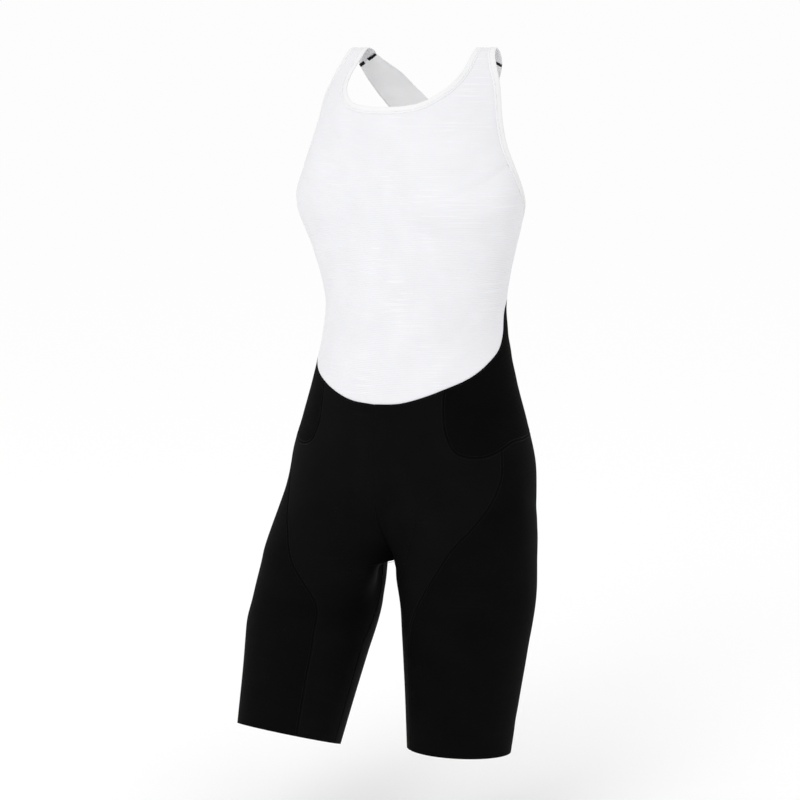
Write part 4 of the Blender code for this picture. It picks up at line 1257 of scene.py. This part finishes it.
class BIBSHORTS_OT_seam_threads(PieceOperator, bpy.types.Operator):
    """Make the stitches along the seams, bindings and straps"""

    bl_idname = "bibshorts.seam_threads"
    bl_label = "Seam threads"

    def make(self, sizes):
        black, white = [], []
        for side in (1, -1):
            seam = shorts_seams(side)
            for key in ("leg", "back", "yoke_front", "yoke_side", "yoke_seat"):
                for offset in SEAM_THREADS:
                    black.append(seam_row(seam[key], side, offset))
            for key in ("waist_front", "waist_hip"):
                black.append(seam_row(seam[key], side, -WAIST_THREAD * side))
                white.append(seam_row(seam[key], side, WAIST_THREAD * side))
            for key in ("centre_back", "inseam_front", "inseam_back"):
                black.append(seam_row(seam[key], side, SEAM_THREADS[0]))
        _, neck_line, _, armhole_line = bound_edges()
        for side in (1, -1):
            for line in (neck_line, armhole_line):
                own = line if side > 0 else mirrored(line)
                white.append(seam_row(own, side, BINDING_THREAD * side, BINDING_THREAD_LIFT))
            place, out, _ = strap_frame(side, STRAP_STEPS)
            for step in (STRAP_THREAD_STEP, STRAP_STEPS - STRAP_THREAD_STEP):
                line = place[:, step] + out[:, step] * STRAP_THREAD_LIFT
                white.append((line, out[:, step]))
        length, radius = sizes.stitch / MM, sizes.thread / MM
        add_threads("seam_threads_black", black, "black", length, radius)
        add_threads("seam_threads_white", white, "white", length, radius)


class BIBSHORTS_OT_pad_threads(PieceOperator, bpy.types.Operator):
    """Make the stitches that hold the seat pad"""

    bl_idname = "bibshorts.pad_threads"
    bl_label = "Pad threads"

    def make(self, sizes):
        rows = []
        for side in (1, -1):
            for table in (PAD_STITCH[PAD_THREAD_ROW:], PAD_STITCH_BACK):
                rows.append(seam_row(curve_through(table, side=side), side, 0.0, PAD_THREAD_LIFT))
        add_threads("pad_threads", rows, "black", PAD_PITCH,
                    PAD_THREAD * sizes.thread / MM, PAD_SHOWN)


class BIBSHORTS_OT_bar_tacks(PieceOperator, bpy.types.Operator):
    """Make the black bar tacks on the shoulder seams"""

    bl_idname = "bibshorts.bar_tacks"
    bl_label = "Bar tacks"

    def make(self, sizes):
        wall = sizes.wall / MM
        bm = bmesh.new()
        for side in (1, -1):
            place, out, _ = strap_frame(side, TACK_STEPS)
            marks = np.arange(TACK_STEPS + 1) / TACK_STEPS
            for first, last in TACK_SPANS:
                spots = np.linspace(first, last, TACK_TURNS + 1)
                start, next_row, normal = (
                    np.stack([np.interp(spots, marks, rows[:, k]) for k in range(3)], axis=-1)
                    for rows in (place[0], place[TACK_AIM_ROW], out[0]))
                along = next_row - start
                along /= np.linalg.norm(along, axis=1, keepdims=True)
                reach = np.where(np.arange(TACK_TURNS + 1) % 2, TACK_REACH[1], TACK_REACH[0])
                for lift in (TACK_LIFT, -wall - TACK_LIFT):
                    points = start + along * reach[:, None] + normal * lift
                    for pair in zip(points[:-1], points[1:]):
                        add_bar(bm, pair, TACK_RADIUS, TACK_SIDES, Vector())
        made = finish_mesh(bm, "bar_tacks")
        dress(made, thread_material("black"), None, 0.0)


class BIBSHORTS_OT_stage(bpy.types.Operator):
    """Make the pale floor, the soft light and the camera"""

    bl_idname = "bibshorts.stage"
    bl_label = "Stage"
    bl_options = {"REGISTER", "UNDO"}

    def execute(self, context):
        scene = context.scene
        bm = bmesh.new()
        bmesh.ops.create_grid(bm, x_segments=2, y_segments=2, size=FLOOR_SIZE,
                              matrix=Matrix.Translation((0.0, 0.0, FLOOR_HEIGHT)))
        floor_piece = finish_mesh(bm, "floor")
        surface = new_material("Pale floor", (1.0, 1.0, 1.0), FLOOR_ROUGHNESS, 0.0)[0]
        floor_piece.data.materials.append(surface)
        world = bpy.data.worlds.new("Pale room")
        world.use_nodes = True
        sky = world.node_tree.nodes["Background"]
        sky.inputs["Color"].default_value = (1.0, 1.0, 1.0, 1.0)
        sky.inputs["Strength"].default_value = WORLD_LIGHT
        scene.world = world
        for name, (azimuth, height, distance, size, power) in LIGHTS.items():
            lamp = bpy.data.lights.new(name, "AREA")
            lamp.shape = "DISK"
            lamp.size = size
            lamp.energy = power
            holder = bpy.data.objects.new(name, lamp)
            angle = radians(azimuth)
            holder.location = (distance * sin(angle), -distance * cos(angle), height)
            aim = Vector(LIGHT_AIM) - holder.location
            holder.rotation_euler = aim.to_track_quat("-Z", "Y").to_euler()
            scene.collection.objects.link(holder)
        lens = bpy.data.cameras.new("Camera")
        lens.sensor_width = CAMERA_SENSOR
        lens.lens = CAMERA_LENS
        camera = bpy.data.objects.new("Camera", lens)
        angle = radians(CAMERA_AZIMUTH)
        camera.location = (CAMERA_DISTANCE * sin(angle), -CAMERA_DISTANCE * cos(angle),
                           CAMERA_HEIGHT)
        camera.rotation_euler = (radians(90.0 - CAMERA_TILT), 0.0,
                                 radians(CAMERA_AZIMUTH + CAMERA_PAN))
        scene.collection.objects.link(camera)
        scene.camera = camera
        scene.view_settings.view_transform = "Standard"
        scene.view_settings.look = "None"
        return {"FINISHED"}


class BIBSHORTS_PT_panel(bpy.types.Panel):
    """The pieces and settings of the bib shorts"""

    bl_label = "Bib shorts"
    bl_idname = "BIBSHORTS_PT_panel"
    bl_space_type = "VIEW_3D"
    bl_region_type = "UI"
    bl_category = "Bib shorts"

    def draw(self, context):
        layout = self.layout
        for settings in (context.scene.bib_shorts_sizes, context.scene.bib_shorts_colours):
            for name in settings.__annotations__:
                layout.prop(settings, name)
        for operator in OPERATORS:
            layout.operator(operator.bl_idname)


OPERATORS = (BIBSHORTS_OT_bib_front, BIBSHORTS_OT_bindings, BIBSHORTS_OT_back_straps,
             BIBSHORTS_OT_back_yoke, BIBSHORTS_OT_front_panels, BIBSHORTS_OT_side_panels,
             BIBSHORTS_OT_seat_panels, BIBSHORTS_OT_seam_threads, BIBSHORTS_OT_pad_threads,
             BIBSHORTS_OT_bar_tacks, BIBSHORTS_OT_stage)
CLASSES = (BibShortsSizes, BibShortsColours, *OPERATORS, BIBSHORTS_PT_panel)


def register():
    """Add the classes and the settings they use."""
    for item in CLASSES:
        bpy.utils.register_class(item)
    bpy.types.Scene.bib_shorts_sizes = PointerProperty(type=BibShortsSizes)
    bpy.types.Scene.bib_shorts_colours = PointerProperty(type=BibShortsColours)


def unregister():
    """Take the classes and settings away again."""
    del bpy.types.Scene.bib_shorts_colours
    del bpy.types.Scene.bib_shorts_sizes
    for item in reversed(CLASSES):
        bpy.utils.unregister_class(item)


def main():
    """Make every piece in order."""
    register()
    for operator in OPERATORS:
        group, name = operator.bl_idname.split(".")
        getattr(getattr(bpy.ops, group), name)()
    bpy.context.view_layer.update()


if __name__ == "__main__":
    main()
